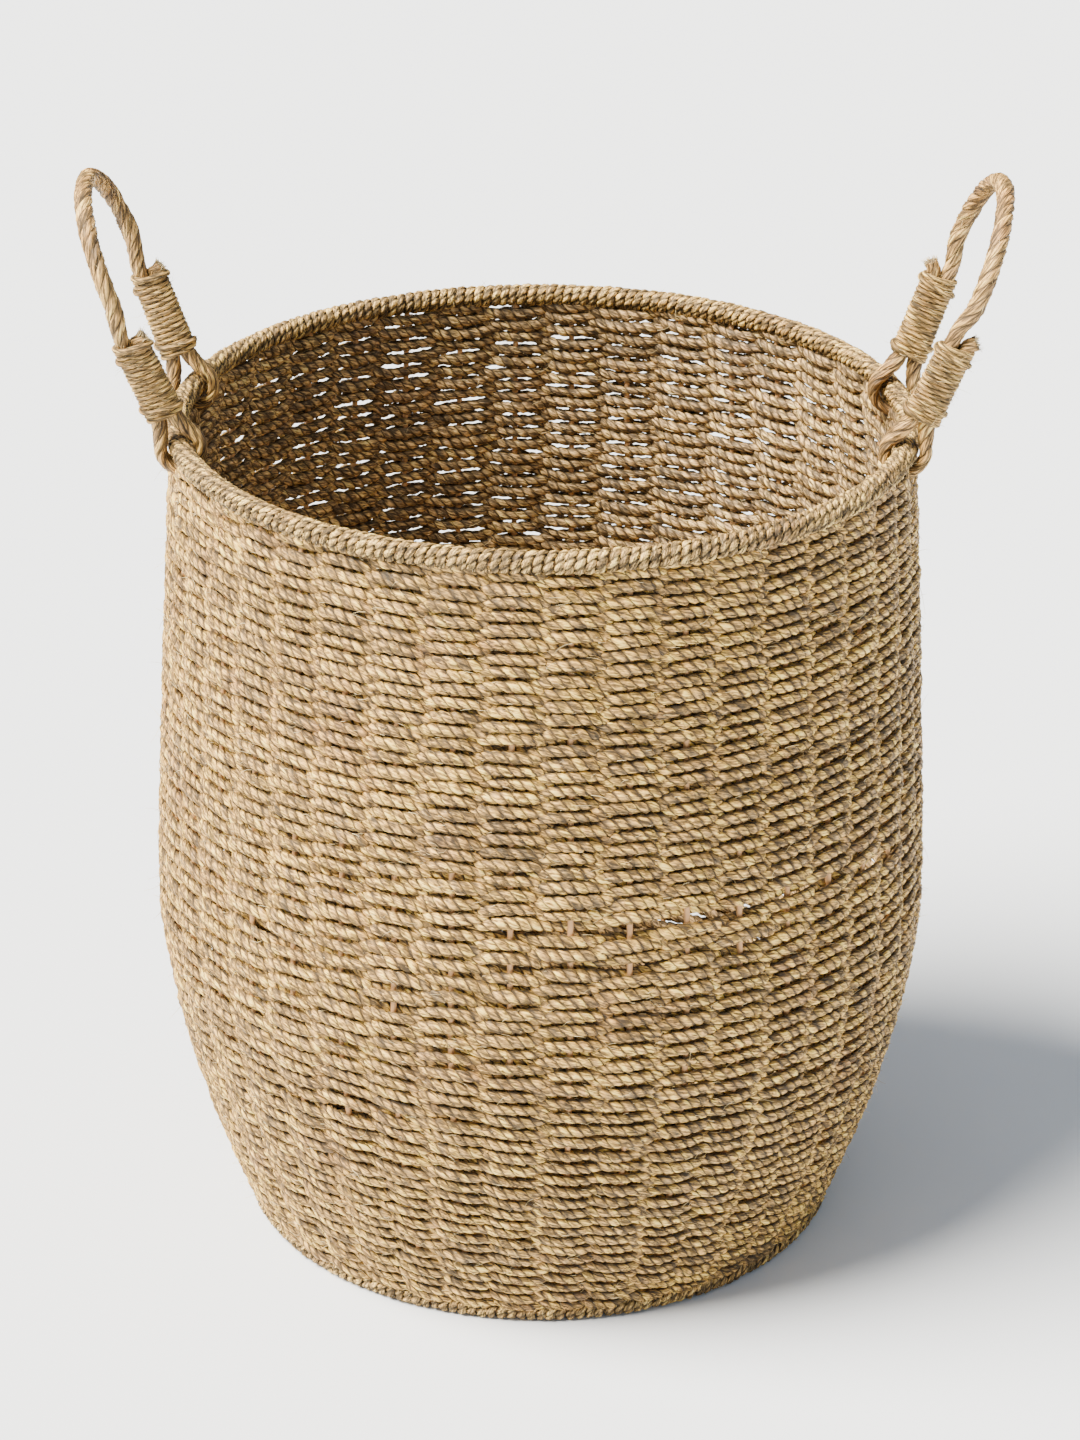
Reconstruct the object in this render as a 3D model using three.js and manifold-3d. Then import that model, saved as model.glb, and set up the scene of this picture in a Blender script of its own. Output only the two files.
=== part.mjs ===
// A round jute basket, twined over upright stakes, with a bound rim, a bound foot and two rope handles.
// Millimetres, +Z up. The origin is on the floor under the middle of the basket.
// The handles stand at +X and -X, and -Y is the front.
import * as THREE from "three";
import { mergeVertices } from "three/addons/utils/BufferGeometryUtils.js";
import Module from "manifold-3d";

const wasm = await Module();
wasm.setup();

// Outline of the woven wall, measured on its outside
const RIM_HEIGHT = 480; // floor to the middle of the rim roll
const RIM_RADIUS = 203; // middle of the basket to the middle of the rim roll
const BELLY_RADIUS = 222; // widest place
const BELLY_HEIGHT = 205;
const FOOT_RADIUS = 166.6; // middle of the basket to the middle of the foot roll
const LOWER_CURVE_POWER = 1.72; // how quickly the wall turns upright above the foot
const UPPER_CURVE_POWER = 1.2; // how gently it draws in from the belly to the rim
const RIM_OVERHANG = 2.35; // how far the rim roll stands proud of the wall

// Stakes, and the pairs of weft ropes twined round them
const GAPS_BEHIND = 19;
const GAPS_IN_FRONT = 21;
const STAKE_DIAMETER = 3.5;
const WEFT_THICKNESS = 4; // one weft rope, pressed against its stake
const FIT_GAP = 0.3; // between pieces that touch

// Rolls: a cane hoop inside a sleeve of wound cord
const RIM_ROLL_DIAMETER = 13.5;
const RIM_WRAP_THICKNESS = 2.7;
const FOOT_ROLL_DIAMETER = 10;
const FOOT_WRAP_THICKNESS = 2.1;
const SEAM_WIDTH = 1.2; // where the foot's sleeve closes, on its inner side

// Base: sticks that cross in the middle, held between the two faces of the weave
const BASE_LIFT = 1.5; // floor to the underside of the base
const BASE_EDGE_GAP = 0.8; // base to foot roll
const BASE_EYE_RADIUS = 18; // the bare cross in the middle
const STICKS_EACH_WAY = 3;
const CROSS_HALF_LENGTH = 9; // half the stretch where the sticks lie side by side
const STICK_SETTLE_LENGTH = 6.5; // over which a stick comes down to the level of the weave

// Handles: one rope each, with an eye round the rim at both ends
const HANDLE_HEIGHT = 144.5; // middle of the rim to the middle of the rope at the top
const HANDLE_WIDTH = 118; // between the legs' middles at the widest
const ARCH_RISE = 49.5; // the half oval at the top
const HANDLE_LEAN_DEG = 21; // outward from upright
const EYE_GAPS_FROM_SIDE = 1.5; // an eye passes midway between the second stake and the third
const ROPE_DIAMETER = 9;
const BOUND_ROPE_DIAMETER = 7.8; // squeezed by its binding
const TAIL_TIP_DIAMETER = 3.6; // the rope's thinned end
const TAIL_STUB = 4; // its length above the binding
const TAIL_TAPER_POWER = 1.5;
const STRAND_GAP = 0.5; // between the rope and its own tail
const EYE_CLEARANCE = 1.9; // rim roll to eye, which must turn on a curved rim
const NOTCH_CLEARANCE = 1.4; // eye to the weave that it passes through
const NECK_HEIGHT = 19; // where the two sides of an eye meet
const NECK_SOFTNESS = 1.2;
const BINDING_START = 23;
const BINDING_TURNS = 15;
const BINDING_PITCH = 2.95;
const BINDING_CORD_DIAMETER = 2.4;
const BINDING_CLEARANCE = 0.65;
const BINDING_OVAL_POWER = 2.4;

// Facets
const HEIGHT_SHARES = [0, 0.05, 0.12, 0.22, 0.35, 0.53, 0.76, 1]; // rings up the wall
const SLEEVE_SIDES = 8;
const HOOP_SIDES = 6;
const STAKE_SIDES = 5;
const ROPE_SIDES = 7;
const CORD_SIDES = 5;
const CORD_STEPS_PER_TURN = 10;
const TAIL_STEPS = 8;
const EYE_STEPS = 10;
const LEG_STEPS = 12;
const ARCH_STEPS = 12;

const FULL_TURN = 2 * Math.PI;
const HALF_TURN = Math.PI;
const UP = new THREE.Vector3(0, 0, 1);

// Sizes that follow from the ones above
const RIM_ROLL_RADIUS = RIM_ROLL_DIAMETER / 2;
const FOOT_ROLL_RADIUS = FOOT_ROLL_DIAMETER / 2;
const FOOT_HEIGHT = FOOT_ROLL_RADIUS * Math.cos(HALF_TURN / SLEEVE_SIDES); // it stands on a flat side
const WALL_TOP_RADIUS = RIM_RADIUS + RIM_ROLL_RADIUS - RIM_OVERHANG;
const WALL_FOOT_RADIUS = FOOT_RADIUS + FOOT_ROLL_RADIUS;
const WALL_BOTTOM = FOOT_HEIGHT + FOOT_ROLL_RADIUS + FIT_GAP;
const WALL_TOP = RIM_HEIGHT - RIM_ROLL_RADIUS - FIT_GAP;
const STAKE_RADIUS = STAKE_DIAMETER / 2;
const WEAVE_HALF = STAKE_RADIUS + WEFT_THICKNESS;
const ROPE_RADIUS = ROPE_DIAMETER / 2;
const EYE_RADIUS = RIM_ROLL_RADIUS + EYE_CLEARANCE + ROPE_RADIUS;
const EYE_ANGLE = EYE_GAPS_FROM_SIDE * 0.5 * (HALF_TURN / GAPS_BEHIND + HALF_TURN / GAPS_IN_FRONT);
const EYE_SPACING = 2 * RIM_RADIUS * Math.sin(EYE_ANGLE);
const HINGE_X = RIM_RADIUS * Math.cos(EYE_ANGLE);
const BINDING_TOP = BINDING_START + BINDING_TURNS * BINDING_PITCH;
const TAIL_TIP_HEIGHT = BINDING_TOP + TAIL_STUB;
const ARCH_START = HANDLE_HEIGHT - ARCH_RISE;
const BASE_MIDDLE = BASE_LIFT + WEAVE_HALF;
const BASE_RADIUS = FOOT_RADIUS - FOOT_ROLL_RADIUS - BASE_EDGE_GAP;

// Angles of the stakes: evenly behind from +X round to -X, and a little closer together in front.
const stakeAngles = [];
for (let i = 0; i < GAPS_BEHIND; i++) {
  stakeAngles.push((i / GAPS_BEHIND) * HALF_TURN);
}
for (let i = 0; i < GAPS_IN_FRONT; i++) {
  stakeAngles.push(HALF_TURN + (i / GAPS_IN_FRONT) * HALF_TURN);
}

const juteWeave = new THREE.MeshStandardMaterial({ color: 0xb8945f, roughness: 0.95, metalness: 0 });
const juteWeaveInside = new THREE.MeshStandardMaterial({ color: 0x9a7c50, roughness: 0.95, metalness: 0 });
const jutePaleCord = new THREE.MeshStandardMaterial({ color: 0xd0b487, roughness: 0.9, metalness: 0 });
const juteRope = new THREE.MeshStandardMaterial({ color: 0xb28a55, roughness: 0.92, metalness: 0 });
const juteBinding = new THREE.MeshStandardMaterial({ color: 0xa98657, roughness: 0.92, metalness: 0 });
const cane = new THREE.MeshStandardMaterial({ color: 0xc69a74, roughness: 0.7, metalness: 0 });

function smooth(share) {
  const s = THREE.MathUtils.clamp(share, 0, 1);
  return s * s * (3 - 2 * s);
}

// A geometry that keeps only its points and faces, with the points that coincide joined.
function bare(geometry) {
  const plain = new THREE.BufferGeometry();
  plain.setAttribute("position", geometry.getAttribute("position"));
  plain.setIndex(geometry.getIndex());
  return mergeVertices(plain);
}

function solidOf(geometry) {
  const merged = bare(geometry);
  const vertProperties = new Float32Array(merged.getAttribute("position").array);
  const triVerts = new Uint32Array(merged.getIndex().array);
  return new wasm.Manifold(new wasm.Mesh({ numProp: 3, vertProperties, triVerts }));
}

// The geometry with every cutter taken out of it.
function cut(geometry, cutters) {
  let solid = solidOf(geometry);
  for (const cutter of cutters) {
    solid = solid.subtract(solidOf(cutter));
  }
  const mesh = solid.getMesh();
  const result = new THREE.BufferGeometry();
  result.setAttribute("position", new THREE.BufferAttribute(mesh.vertProperties, 3));
  result.setIndex(new THREE.BufferAttribute(mesh.triVerts, 1));
  return result;
}

// A closed profile of [radius, height] points turned round +Z, with one column of points at each stake.
function turned(profile) {
  const columns = stakeAngles.length;
  const loop = [...profile, profile[0]].map(([radius, height]) => new THREE.Vector2(radius, height));
  const lathe = new THREE.LatheGeometry(loop, columns, HALF_TURN / 2).rotateX(HALF_TURN / 2);
  const position = lathe.getAttribute("position");
  for (let i = 0; i < position.count; i++) {
    const radius = Math.hypot(position.getX(i), position.getY(i));
    const turn = Math.atan2(position.getY(i), position.getX(i)) / FULL_TURN;
    const column = (Math.round(turn * columns) + columns) % columns;
    const angle = stakeAngles[column];
    position.setXY(i, radius * Math.cos(angle), radius * Math.sin(angle));
  }
  return bare(lathe);
}

// The points of a round section with a flat side down, as [radius, height], anticlockwise.
function roundSection(middleRadius, middleHeight, radius, sides) {
  const points = [];
  for (let i = 0; i < sides; i++) {
    const angle = -HALF_TURN / 2 + ((i + 0.5) / sides) * FULL_TURN;
    points.push([middleRadius + radius * Math.cos(angle), middleHeight + radius * Math.sin(angle)]);
  }
  return points;
}

function boxSection(innerRadius, outerRadius, low, high) {
  return [[innerRadius, low], [outerRadius, low], [outerRadius, high], [innerRadius, high]];
}

// A closed tube through the stations, each { centre, radius }, with a flat cap at both ends.
function tube(stations, sides, firstNormal) {
  const positions = [];
  const normal = firstNormal.clone();
  stations.forEach(({ centre, radius }, i) => {
    const before = stations[Math.max(i - 1, 0)].centre;
    const after = stations[Math.min(i + 1, stations.length - 1)].centre;
    const tangent = after.clone().sub(before).normalize();
    normal.addScaledVector(tangent, -normal.dot(tangent)).normalize();
    const side = tangent.clone().cross(normal);
    for (let j = 0; j < sides; j++) {
      const angle = (j / sides) * FULL_TURN;
      const point = centre.clone();
      point.addScaledVector(normal, radius * Math.cos(angle));
      point.addScaledVector(side, radius * Math.sin(angle));
      positions.push(point.x, point.y, point.z);
    }
  });
  const indices = [];
  for (let i = 0; i < stations.length - 1; i++) {
    for (let j = 0; j < sides; j++) {
      const a = i * sides + j;
      const b = i * sides + ((j + 1) % sides);
      indices.push(a, b, b + sides, a, b + sides, a + sides);
    }
  }
  const last = (stations.length - 1) * sides;
  for (let j = 1; j < sides - 1; j++) {
    indices.push(0, j + 1, j, last, last + j, last + j + 1);
  }
  const geometry = new THREE.BufferGeometry();
  geometry.setAttribute("position", new THREE.Float32BufferAttribute(positions, 3));
  geometry.setIndex(indices);
  return geometry;
}

function named(name, geometry, material) {
  const mesh = new THREE.Mesh(geometry, material);
  mesh.name = name;
  return mesh;
}

// Radius of the wall's outside at a height: it swells from the foot to the belly and draws in to the rim.
function outerRadius(height) {
  if (height < BELLY_HEIGHT) {
    const left = 1 - height / BELLY_HEIGHT;
    return BELLY_RADIUS - (BELLY_RADIUS - WALL_FOOT_RADIUS) * left ** LOWER_CURVE_POWER;
  }
  const done = (height - BELLY_HEIGHT) / (RIM_HEIGHT - BELLY_HEIGHT);
  return BELLY_RADIUS - (BELLY_RADIUS - WALL_TOP_RADIUS) * done ** UPPER_CURVE_POWER;
}

function outerSlope(height) {
  if (height < BELLY_HEIGHT) {
    const left = 1 - height / BELLY_HEIGHT;
    const rise = (BELLY_RADIUS - WALL_FOOT_RADIUS) / BELLY_HEIGHT;
    return rise * LOWER_CURVE_POWER * left ** (LOWER_CURVE_POWER - 1);
  }
  const done = (height - BELLY_HEIGHT) / (RIM_HEIGHT - BELLY_HEIGHT);
  const fall = (BELLY_RADIUS - WALL_TOP_RADIUS) / (RIM_HEIGHT - BELLY_HEIGHT);
  return -fall * UPPER_CURVE_POWER * done ** (UPPER_CURVE_POWER - 1);
}

// Radius at a height, at a depth measured square to the wall from its outside.
function wallRadius(height, depth) {
  return outerRadius(height) - depth * Math.hypot(1, outerSlope(height));
}

const wallHeights = HEIGHT_SHARES.map((share) => WALL_BOTTOM + share * (WALL_TOP - WALL_BOTTOM));

// One face of the twined wall, between two depths.
function weaveFace(outerDepth, innerDepth) {
  const inside = wallHeights.map((height) => [wallRadius(height, innerDepth), height]);
  const outside = wallHeights.map((height) => [wallRadius(height, outerDepth), height]);
  return turned([...outside, ...inside.reverse()]);
}

// The four places under the rim where a handle's rope goes through the wall.
function eyeNotches() {
  const width = ROPE_DIAMETER + 2 * NOTCH_CLEARANCE;
  const low = RIM_HEIGHT - EYE_RADIUS - ROPE_RADIUS - NOTCH_CLEARANCE;
  const high = RIM_HEIGHT;
  const reach = 6 * WEAVE_HALF;
  const notches = [];
  for (const xSide of [1, -1]) {
    for (const ySide of [1, -1]) {
      const box = new THREE.BoxGeometry(reach, width, high - low);
      box.translate(xSide * HINGE_X, (ySide * EYE_SPACING) / 2, (high + low) / 2);
      notches.push(box);
    }
  }
  return notches;
}

function makeWall() {
  const wall = new THREE.Group();
  const notches = eyeNotches();
  const clear = STAKE_RADIUS + FIT_GAP;
  const outside = cut(weaveFace(0, WEAVE_HALF - clear), notches);
  const inside = cut(weaveFace(WEAVE_HALF + clear, 2 * WEAVE_HALF), notches);
  wall.add(named("wall_weft_outer", outside, juteWeave));
  wall.add(named("wall_weft_inner", inside, juteWeaveInside));
  return wall;
}

// Forty stakes between the two faces of the weave, from the foot roll up to the rim's hoop.
function makeStakes() {
  const stakes = new THREE.Group();
  const headHeight = RIM_HEIGHT - RIM_ROLL_RADIUS + RIM_WRAP_THICKNESS;
  const heights = [...wallHeights.slice(0, -1), headHeight];
  stakeAngles.forEach((angle, i) => {
    const outward = new THREE.Vector3(Math.cos(angle), Math.sin(angle), 0);
    const stations = heights.map((height) => ({
      centre: outward.clone().multiplyScalar(wallRadius(height, WEAVE_HALF)).setZ(height),
      radius: STAKE_RADIUS,
    }));
    const name = "stake_" + String(i + 1).padStart(2, "0");
    stakes.add(named(name, tube(stations, STAKE_SIDES, outward), cane));
  });
  return stakes;
}

// The rim: a cane hoop, and a wound sleeve with a slot below that lets the stakes' heads in.
function makeRim() {
  const rim = new THREE.Group();
  const hollow = RIM_ROLL_RADIUS - RIM_WRAP_THICKNESS;
  const hoop = turned(roundSection(RIM_RADIUS, RIM_HEIGHT, hollow - FIT_GAP, HOOP_SIDES));
  const roll = turned(roundSection(RIM_RADIUS, RIM_HEIGHT, RIM_ROLL_RADIUS, SLEEVE_SIDES));
  const bore = turned(roundSection(RIM_RADIUS, RIM_HEIGHT, hollow, HOOP_SIDES));
  const stakeLine = wallRadius(WALL_TOP, WEAVE_HALF);
  const slotHalf = STAKE_RADIUS + 2 * FIT_GAP;
  const slotLow = RIM_HEIGHT - 2 * RIM_ROLL_RADIUS;
  const slotHigh = RIM_HEIGHT - hollow / 2;
  const slot = turned(boxSection(stakeLine - slotHalf, stakeLine + slotHalf, slotLow, slotHigh));
  rim.add(named("rim_hoop", hoop, cane));
  rim.add(named("rim_wrap", cut(roll, [bore, slot]), jutePaleCord));
  return rim;
}

// The foot: a smaller hoop in a wound sleeve that is open along its inner side.
function makeFoot() {
  const foot = new THREE.Group();
  const hollow = FOOT_ROLL_RADIUS - FOOT_WRAP_THICKNESS;
  const hoop = turned(roundSection(FOOT_RADIUS, FOOT_HEIGHT, hollow - FIT_GAP, HOOP_SIDES));
  const roll = turned(roundSection(FOOT_RADIUS, FOOT_HEIGHT, FOOT_ROLL_RADIUS, SLEEVE_SIDES));
  const bore = turned(roundSection(FOOT_RADIUS, FOOT_HEIGHT, hollow, HOOP_SIDES));
  const seamLow = FOOT_HEIGHT - SEAM_WIDTH / 2;
  const seamHigh = FOOT_HEIGHT + SEAM_WIDTH / 2;
  const seam = turned(boxSection(FOOT_RADIUS - FOOT_ROLL_DIAMETER, FOOT_RADIUS, seamLow, seamHigh));
  foot.add(named("foot_hoop", hoop, cane));
  foot.add(named("foot_wrap", cut(roll, [bore, seam]), jutePaleCord));
  return foot;
}

// One base stick: level out to both ends, and lifted or lowered where it crosses the others.
function baseStick(direction, place, lift) {
  const sideways = STAKE_DIAMETER + 2 * FIT_GAP;
  const fan = HALF_TURN / (2 * STICKS_EACH_WAY);
  const half = [];
  const crossing = new THREE.Vector3(CROSS_HALF_LENGTH, place * sideways, 0);
  const endAngle = place * fan;
  const end = new THREE.Vector3(Math.cos(endAngle), Math.sin(endAngle), 0).multiplyScalar(BASE_RADIUS);
  const settle = end.clone().sub(crossing).setLength(STICK_SETTLE_LENGTH).add(crossing);
  half.push(end.setZ(BASE_MIDDLE), settle.setZ(BASE_MIDDLE), crossing.setZ(BASE_MIDDLE + lift));
  const otherHalf = half.map((point) => new THREE.Vector3(-point.x, point.y, point.z)).reverse();
  const stations = [...half, ...otherHalf].map((point) => ({
    centre: point.applyAxisAngle(UP, direction),
    radius: STAKE_RADIUS,
  }));
  return tube(stations, STAKE_SIDES, UP);
}

function makeBase() {
  const base = new THREE.Group();
  const clear = STAKE_RADIUS + FIT_GAP;
  const lower = boxSection(BASE_EYE_RADIUS, BASE_RADIUS, BASE_LIFT, BASE_MIDDLE - clear);
  const upper = boxSection(BASE_EYE_RADIUS, BASE_RADIUS, BASE_MIDDLE + clear, BASE_LIFT + 2 * WEAVE_HALF);
  base.add(named("base_weft_lower", turned(lower), juteWeave));
  base.add(named("base_weft_upper", turned(upper), juteWeaveInside));
  const lift = STAKE_RADIUS + FIT_GAP / 2;
  for (let i = 0; i < STICKS_EACH_WAY; i++) {
    const place = i - (STICKS_EACH_WAY - 1) / 2;
    base.add(named("base_stick_x" + (i + 1), baseStick(0, place, lift), cane));
    base.add(named("base_stick_y" + (i + 1), baseStick(HALF_TURN / 2, place, -lift), cane));
  }
  return base;
}

// A handle is drawn upright: x is outward across it, y along the rim, and z up from the middle of the rim.
// Every leg has two parts side by side above its eye: the rope itself, and its tail turned back along it.

// Height at which the rope leaves the round of the eye.
const EYE_LEAVE_ANGLE = HALF_TURN / 2 - Math.acos(EYE_RADIUS / NECK_HEIGHT);
const EYE_LEAVE_HEIGHT = EYE_RADIUS * Math.sin(EYE_LEAVE_ANGLE);

function ropeRadius(height) {
  const bound = smooth((height - EYE_LEAVE_HEIGHT) / (BINDING_START - EYE_LEAVE_HEIGHT));
  const freed = smooth((height - BINDING_TOP) / (ARCH_START - BINDING_TOP));
  const squeeze = (ROPE_DIAMETER - BOUND_ROPE_DIAMETER) / 2;
  return ROPE_RADIUS - squeeze * (bound - freed);
}

function tailRadius(height) {
  const left = (TAIL_TIP_HEIGHT - height) / (TAIL_TIP_HEIGHT - EYE_LEAVE_HEIGHT);
  const thinned = THREE.MathUtils.clamp(left, 0, 1) ** TAIL_TAPER_POWER;
  return (TAIL_TIP_DIAMETER + (ROPE_DIAMETER - TAIL_TIP_DIAMETER) * thinned) / 2;
}

// How far the sides of the eye still stand apart at a height: a straight slope that fades at the neck.
function neckSpread(height, settled) {
  const wide = EYE_RADIUS * Math.cos(EYE_LEAVE_ANGLE) - settled;
  const slope = ((NECK_HEIGHT - height) * wide) / (NECK_HEIGHT - EYE_LEAVE_HEIGHT);
  return (slope + Math.hypot(slope, NECK_SOFTNESS)) / 2;
}

function ropeOffset(height) {
  const settled = tailRadius(height) + STRAND_GAP / 2;
  const centred = 1 - smooth((height - TAIL_TIP_HEIGHT) / (ARCH_START - TAIL_TIP_HEIGHT));
  return settled * centred + neckSpread(height, tailRadius(EYE_LEAVE_HEIGHT));
}

function tailOffset(height) {
  return ropeRadius(height) + STRAND_GAP / 2 + neckSpread(height, ROPE_RADIUS);
}

// The legs stand apart by the eyes' spacing at the rim and reach the full width where the arch starts.
function legPlace(height) {
  return EYE_SPACING / 2 + ((HANDLE_WIDTH - EYE_SPACING) / 2) * smooth(height / ARCH_START);
}

// Stations from the tip of the tail, down it, round the eye and up the rope to where the arch starts.
// side is 1 where the rope is outside its tail, and -1 where it is inside.
function legRoute(yEnd, side) {
  const route = [];
  const add = (x, z, radius) => {
    route.push({ centre: new THREE.Vector3(side * x, yEnd * legPlace(z), z), radius });
  };
  for (let i = 0; i < TAIL_STEPS; i++) {
    const z = TAIL_TIP_HEIGHT + (i / TAIL_STEPS) * (EYE_LEAVE_HEIGHT - TAIL_TIP_HEIGHT);
    add(-tailOffset(z), z, tailRadius(z));
  }
  const from = HALF_TURN - EYE_LEAVE_ANGLE;
  const to = FULL_TURN + EYE_LEAVE_ANGLE;
  for (let i = 0; i <= EYE_STEPS; i++) {
    const angle = from + (i / EYE_STEPS) * (to - from);
    add(EYE_RADIUS * Math.cos(angle), EYE_RADIUS * Math.sin(angle), ROPE_RADIUS);
  }
  for (let i = 1; i <= LEG_STEPS; i++) {
    const z = EYE_LEAVE_HEIGHT + (i / LEG_STEPS) * (ARCH_START - EYE_LEAVE_HEIGHT);
    add(ropeOffset(z), z, ropeRadius(z));
  }
  return route;
}

function ropeRoute(frontSide, backSide) {
  const route = legRoute(-1, frontSide);
  for (let i = 1; i < ARCH_STEPS; i++) {
    const angle = HALF_TURN - (i / ARCH_STEPS) * HALF_TURN;
    const y = (HANDLE_WIDTH / 2) * Math.cos(angle);
    const z = ARCH_START + ARCH_RISE * Math.sin(angle);
    route.push({ centre: new THREE.Vector3(0, y, z), radius: ROPE_RADIUS });
  }
  return [...route, ...legRoute(1, backSide).reverse()];
}

// The cord wound round a leg's rope and tail, as one tube whose turns follow their oval outline.
function bindingRoute(yEnd, side) {
  const route = [];
  const radius = BINDING_CORD_DIAMETER / 2;
  const steps = BINDING_TURNS * CORD_STEPS_PER_TURN;
  for (let i = 0; i <= steps; i++) {
    const turn = i / CORD_STEPS_PER_TURN;
    const z = BINDING_START + turn * BINDING_PITCH;
    const ropeEdge = ropeOffset(z) + ropeRadius(z);
    const tailEdge = tailOffset(z) + tailRadius(z);
    const halfWidth = (ropeEdge + tailEdge) / 2 + BINDING_CLEARANCE + radius;
    const halfDepth = ropeRadius(z) + BINDING_CLEARANCE + radius;
    const across = Math.cos(turn * FULL_TURN);
    const along = Math.sin(turn * FULL_TURN);
    const power = 2 / BINDING_OVAL_POWER;
    const x = (side * (ropeEdge - tailEdge)) / 2 + halfWidth * Math.sign(across) * Math.abs(across) ** power;
    const y = yEnd * legPlace(z) + halfDepth * Math.sign(along) * Math.abs(along) ** power;
    route.push({ centre: new THREE.Vector3(x, y, z), radius });
  }
  const straightOut = (end, inner) => {
    const way = end.centre.clone().sub(inner.centre).setLength(BINDING_CORD_DIAMETER);
    return { centre: end.centre.clone().add(way), radius };
  };
  route.unshift(straightOut(route[0], route[1]));
  route.push(straightOut(route[route.length - 1], route[route.length - 2]));
  return route;
}

// The least clear distance between stretches of one tube that are more than `apart` along it.
function leastSelfGap(route, apart) {
  const points = [];
  let run = 0;
  for (let i = 0; i < route.length - 1; i++) {
    const from = route[i];
    const to = route[i + 1];
    const length = from.centre.distanceTo(to.centre);
    for (const share of [0, 0.25, 0.5, 0.75]) {
      const centre = from.centre.clone().lerp(to.centre, share);
      const radius = from.radius + share * (to.radius - from.radius);
      points.push({ centre, radius, run: run + share * length });
    }
    run += length;
  }
  let least = Infinity;
  points.forEach((a, i) => {
    for (const b of points.slice(i + 1)) {
      if (b.run - a.run > apart) {
        least = Math.min(least, a.centre.distanceTo(b.centre) - a.radius - b.radius);
      }
    }
  });
  return least;
}

// sides holds 1 or -1 for the leg at -y and the leg at +y: whether the rope is outside or inside its tail.
function makeHandle(name, place, sides) {
  const handle = new THREE.Group();
  handle.position.set(HINGE_X, 0, RIM_HEIGHT);
  handle.rotation.y = THREE.MathUtils.degToRad(HANDLE_LEAN_DEG);
  const rope = ropeRoute(sides[0], sides[1]);
  handle.add(named(name + "_rope", tube(rope, ROPE_SIDES, UP), juteRope));
  console.log(name + "_rope least gap to itself", leastSelfGap(rope, 3 * ROPE_DIAMETER).toFixed(2), "mm");
  [-1, 1].forEach((yEnd, i) => {
    const binding = bindingRoute(yEnd, sides[i]);
    const end = yEnd * place < 0 ? "front" : "back";
    const nodeName = name + "_binding_" + end;
    handle.add(named(nodeName, tube(binding, CORD_SIDES, UP), juteBinding));
    const gap = leastSelfGap(binding, 3 * BINDING_CORD_DIAMETER);
    console.log(nodeName + " least gap to itself", gap.toFixed(2), "mm");
  });
  const turnedTo = new THREE.Group();
  turnedTo.rotation.z = place > 0 ? 0 : HALF_TURN;
  turnedTo.add(handle);
  return turnedTo;
}

const basket = new THREE.Group();
basket.name = "jute_basket";
basket.add(makeFoot(), makeBase(), makeStakes(), makeWall(), makeRim());
basket.add(makeHandle("handle_right", 1, [-1, 1]));
basket.add(makeHandle("handle_left", -1, [1, 1]));

export default basket;
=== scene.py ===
"""Looks of a round jute basket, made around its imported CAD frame.

The wall is a pair of two-ply ropes twined round forty stakes, row above row. The rim and the foot are
hoops wound with two-ply cord, and each handle is one rope with an eye round the rim at both ends.
All lengths are in metres. +Z is up, the handles stand at +X and -X, and -Y is the front.
"""

import logging
import math
from dataclasses import dataclass, field
from enum import Enum

import bpy
import numpy as np
from mathutils import Matrix, Vector


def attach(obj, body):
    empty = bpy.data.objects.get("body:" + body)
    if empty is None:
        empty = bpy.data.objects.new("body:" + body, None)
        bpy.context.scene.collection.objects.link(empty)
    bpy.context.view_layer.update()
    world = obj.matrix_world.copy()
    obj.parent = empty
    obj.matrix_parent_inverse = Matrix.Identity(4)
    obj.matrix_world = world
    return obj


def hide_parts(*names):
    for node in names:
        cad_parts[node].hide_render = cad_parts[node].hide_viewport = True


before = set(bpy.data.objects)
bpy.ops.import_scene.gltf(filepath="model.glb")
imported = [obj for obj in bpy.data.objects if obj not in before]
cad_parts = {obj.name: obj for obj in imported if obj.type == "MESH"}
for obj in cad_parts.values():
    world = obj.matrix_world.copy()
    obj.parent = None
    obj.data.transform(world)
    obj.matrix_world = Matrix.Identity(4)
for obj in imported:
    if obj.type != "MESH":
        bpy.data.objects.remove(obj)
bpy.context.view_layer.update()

logging.basicConfig(level=logging.INFO, format="%(message)s")
log = logging.getLogger("jute_basket")

MM = 0.001
FULL_TURN = 2.0 * math.pi
HALF_TURN = math.pi
QUARTER_TURN = HALF_TURN / 2
RIM_RADIUS = 203 * MM
RIM_HEIGHT = 480 * MM
BASE_HEIGHT = 7.25 * MM
Array = np.ndarray


# Small tools for arrays


def smooth(share: Array) -> Array:
    """Rises from 0 to 1 with level ends: s squared times three minus two s.

    Args:
        share: Where between the ends, clipped to 0 and 1.

    Returns:
        The eased share.
    """
    s = np.clip(share, 0.0, 1.0)
    return s * s * (3.0 - 2.0 * s)


def unit(vectors: Array) -> Array:
    """Each row divided by its length."""
    return vectors / np.maximum(np.linalg.norm(vectors, axis=-1, keepdims=True), 1e-12)


def run_length(points: Array) -> Array:
    """Distance walked along a line of points, from 0 at the first one."""
    steps = np.linalg.norm(np.diff(points, axis=0), axis=1)
    return np.concatenate([[0.0], np.cumsum(steps)])


def wander(rng: np.random.Generator, at: Array) -> Array:
    """Smooth random values: a normal draw at every whole number, eased from one to the next.

    Args:
        rng: The seeded source of the draws.
        at: Where the values are read, zero or more.

    Returns:
        One value for each place.
    """
    knots = rng.normal(0.0, 1.0, int(np.max(at)) + 3)
    low = np.floor(at).astype(int)
    ease = smooth(at - low)
    return knots[low] * (1.0 - ease) + knots[low + 1] * ease


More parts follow.
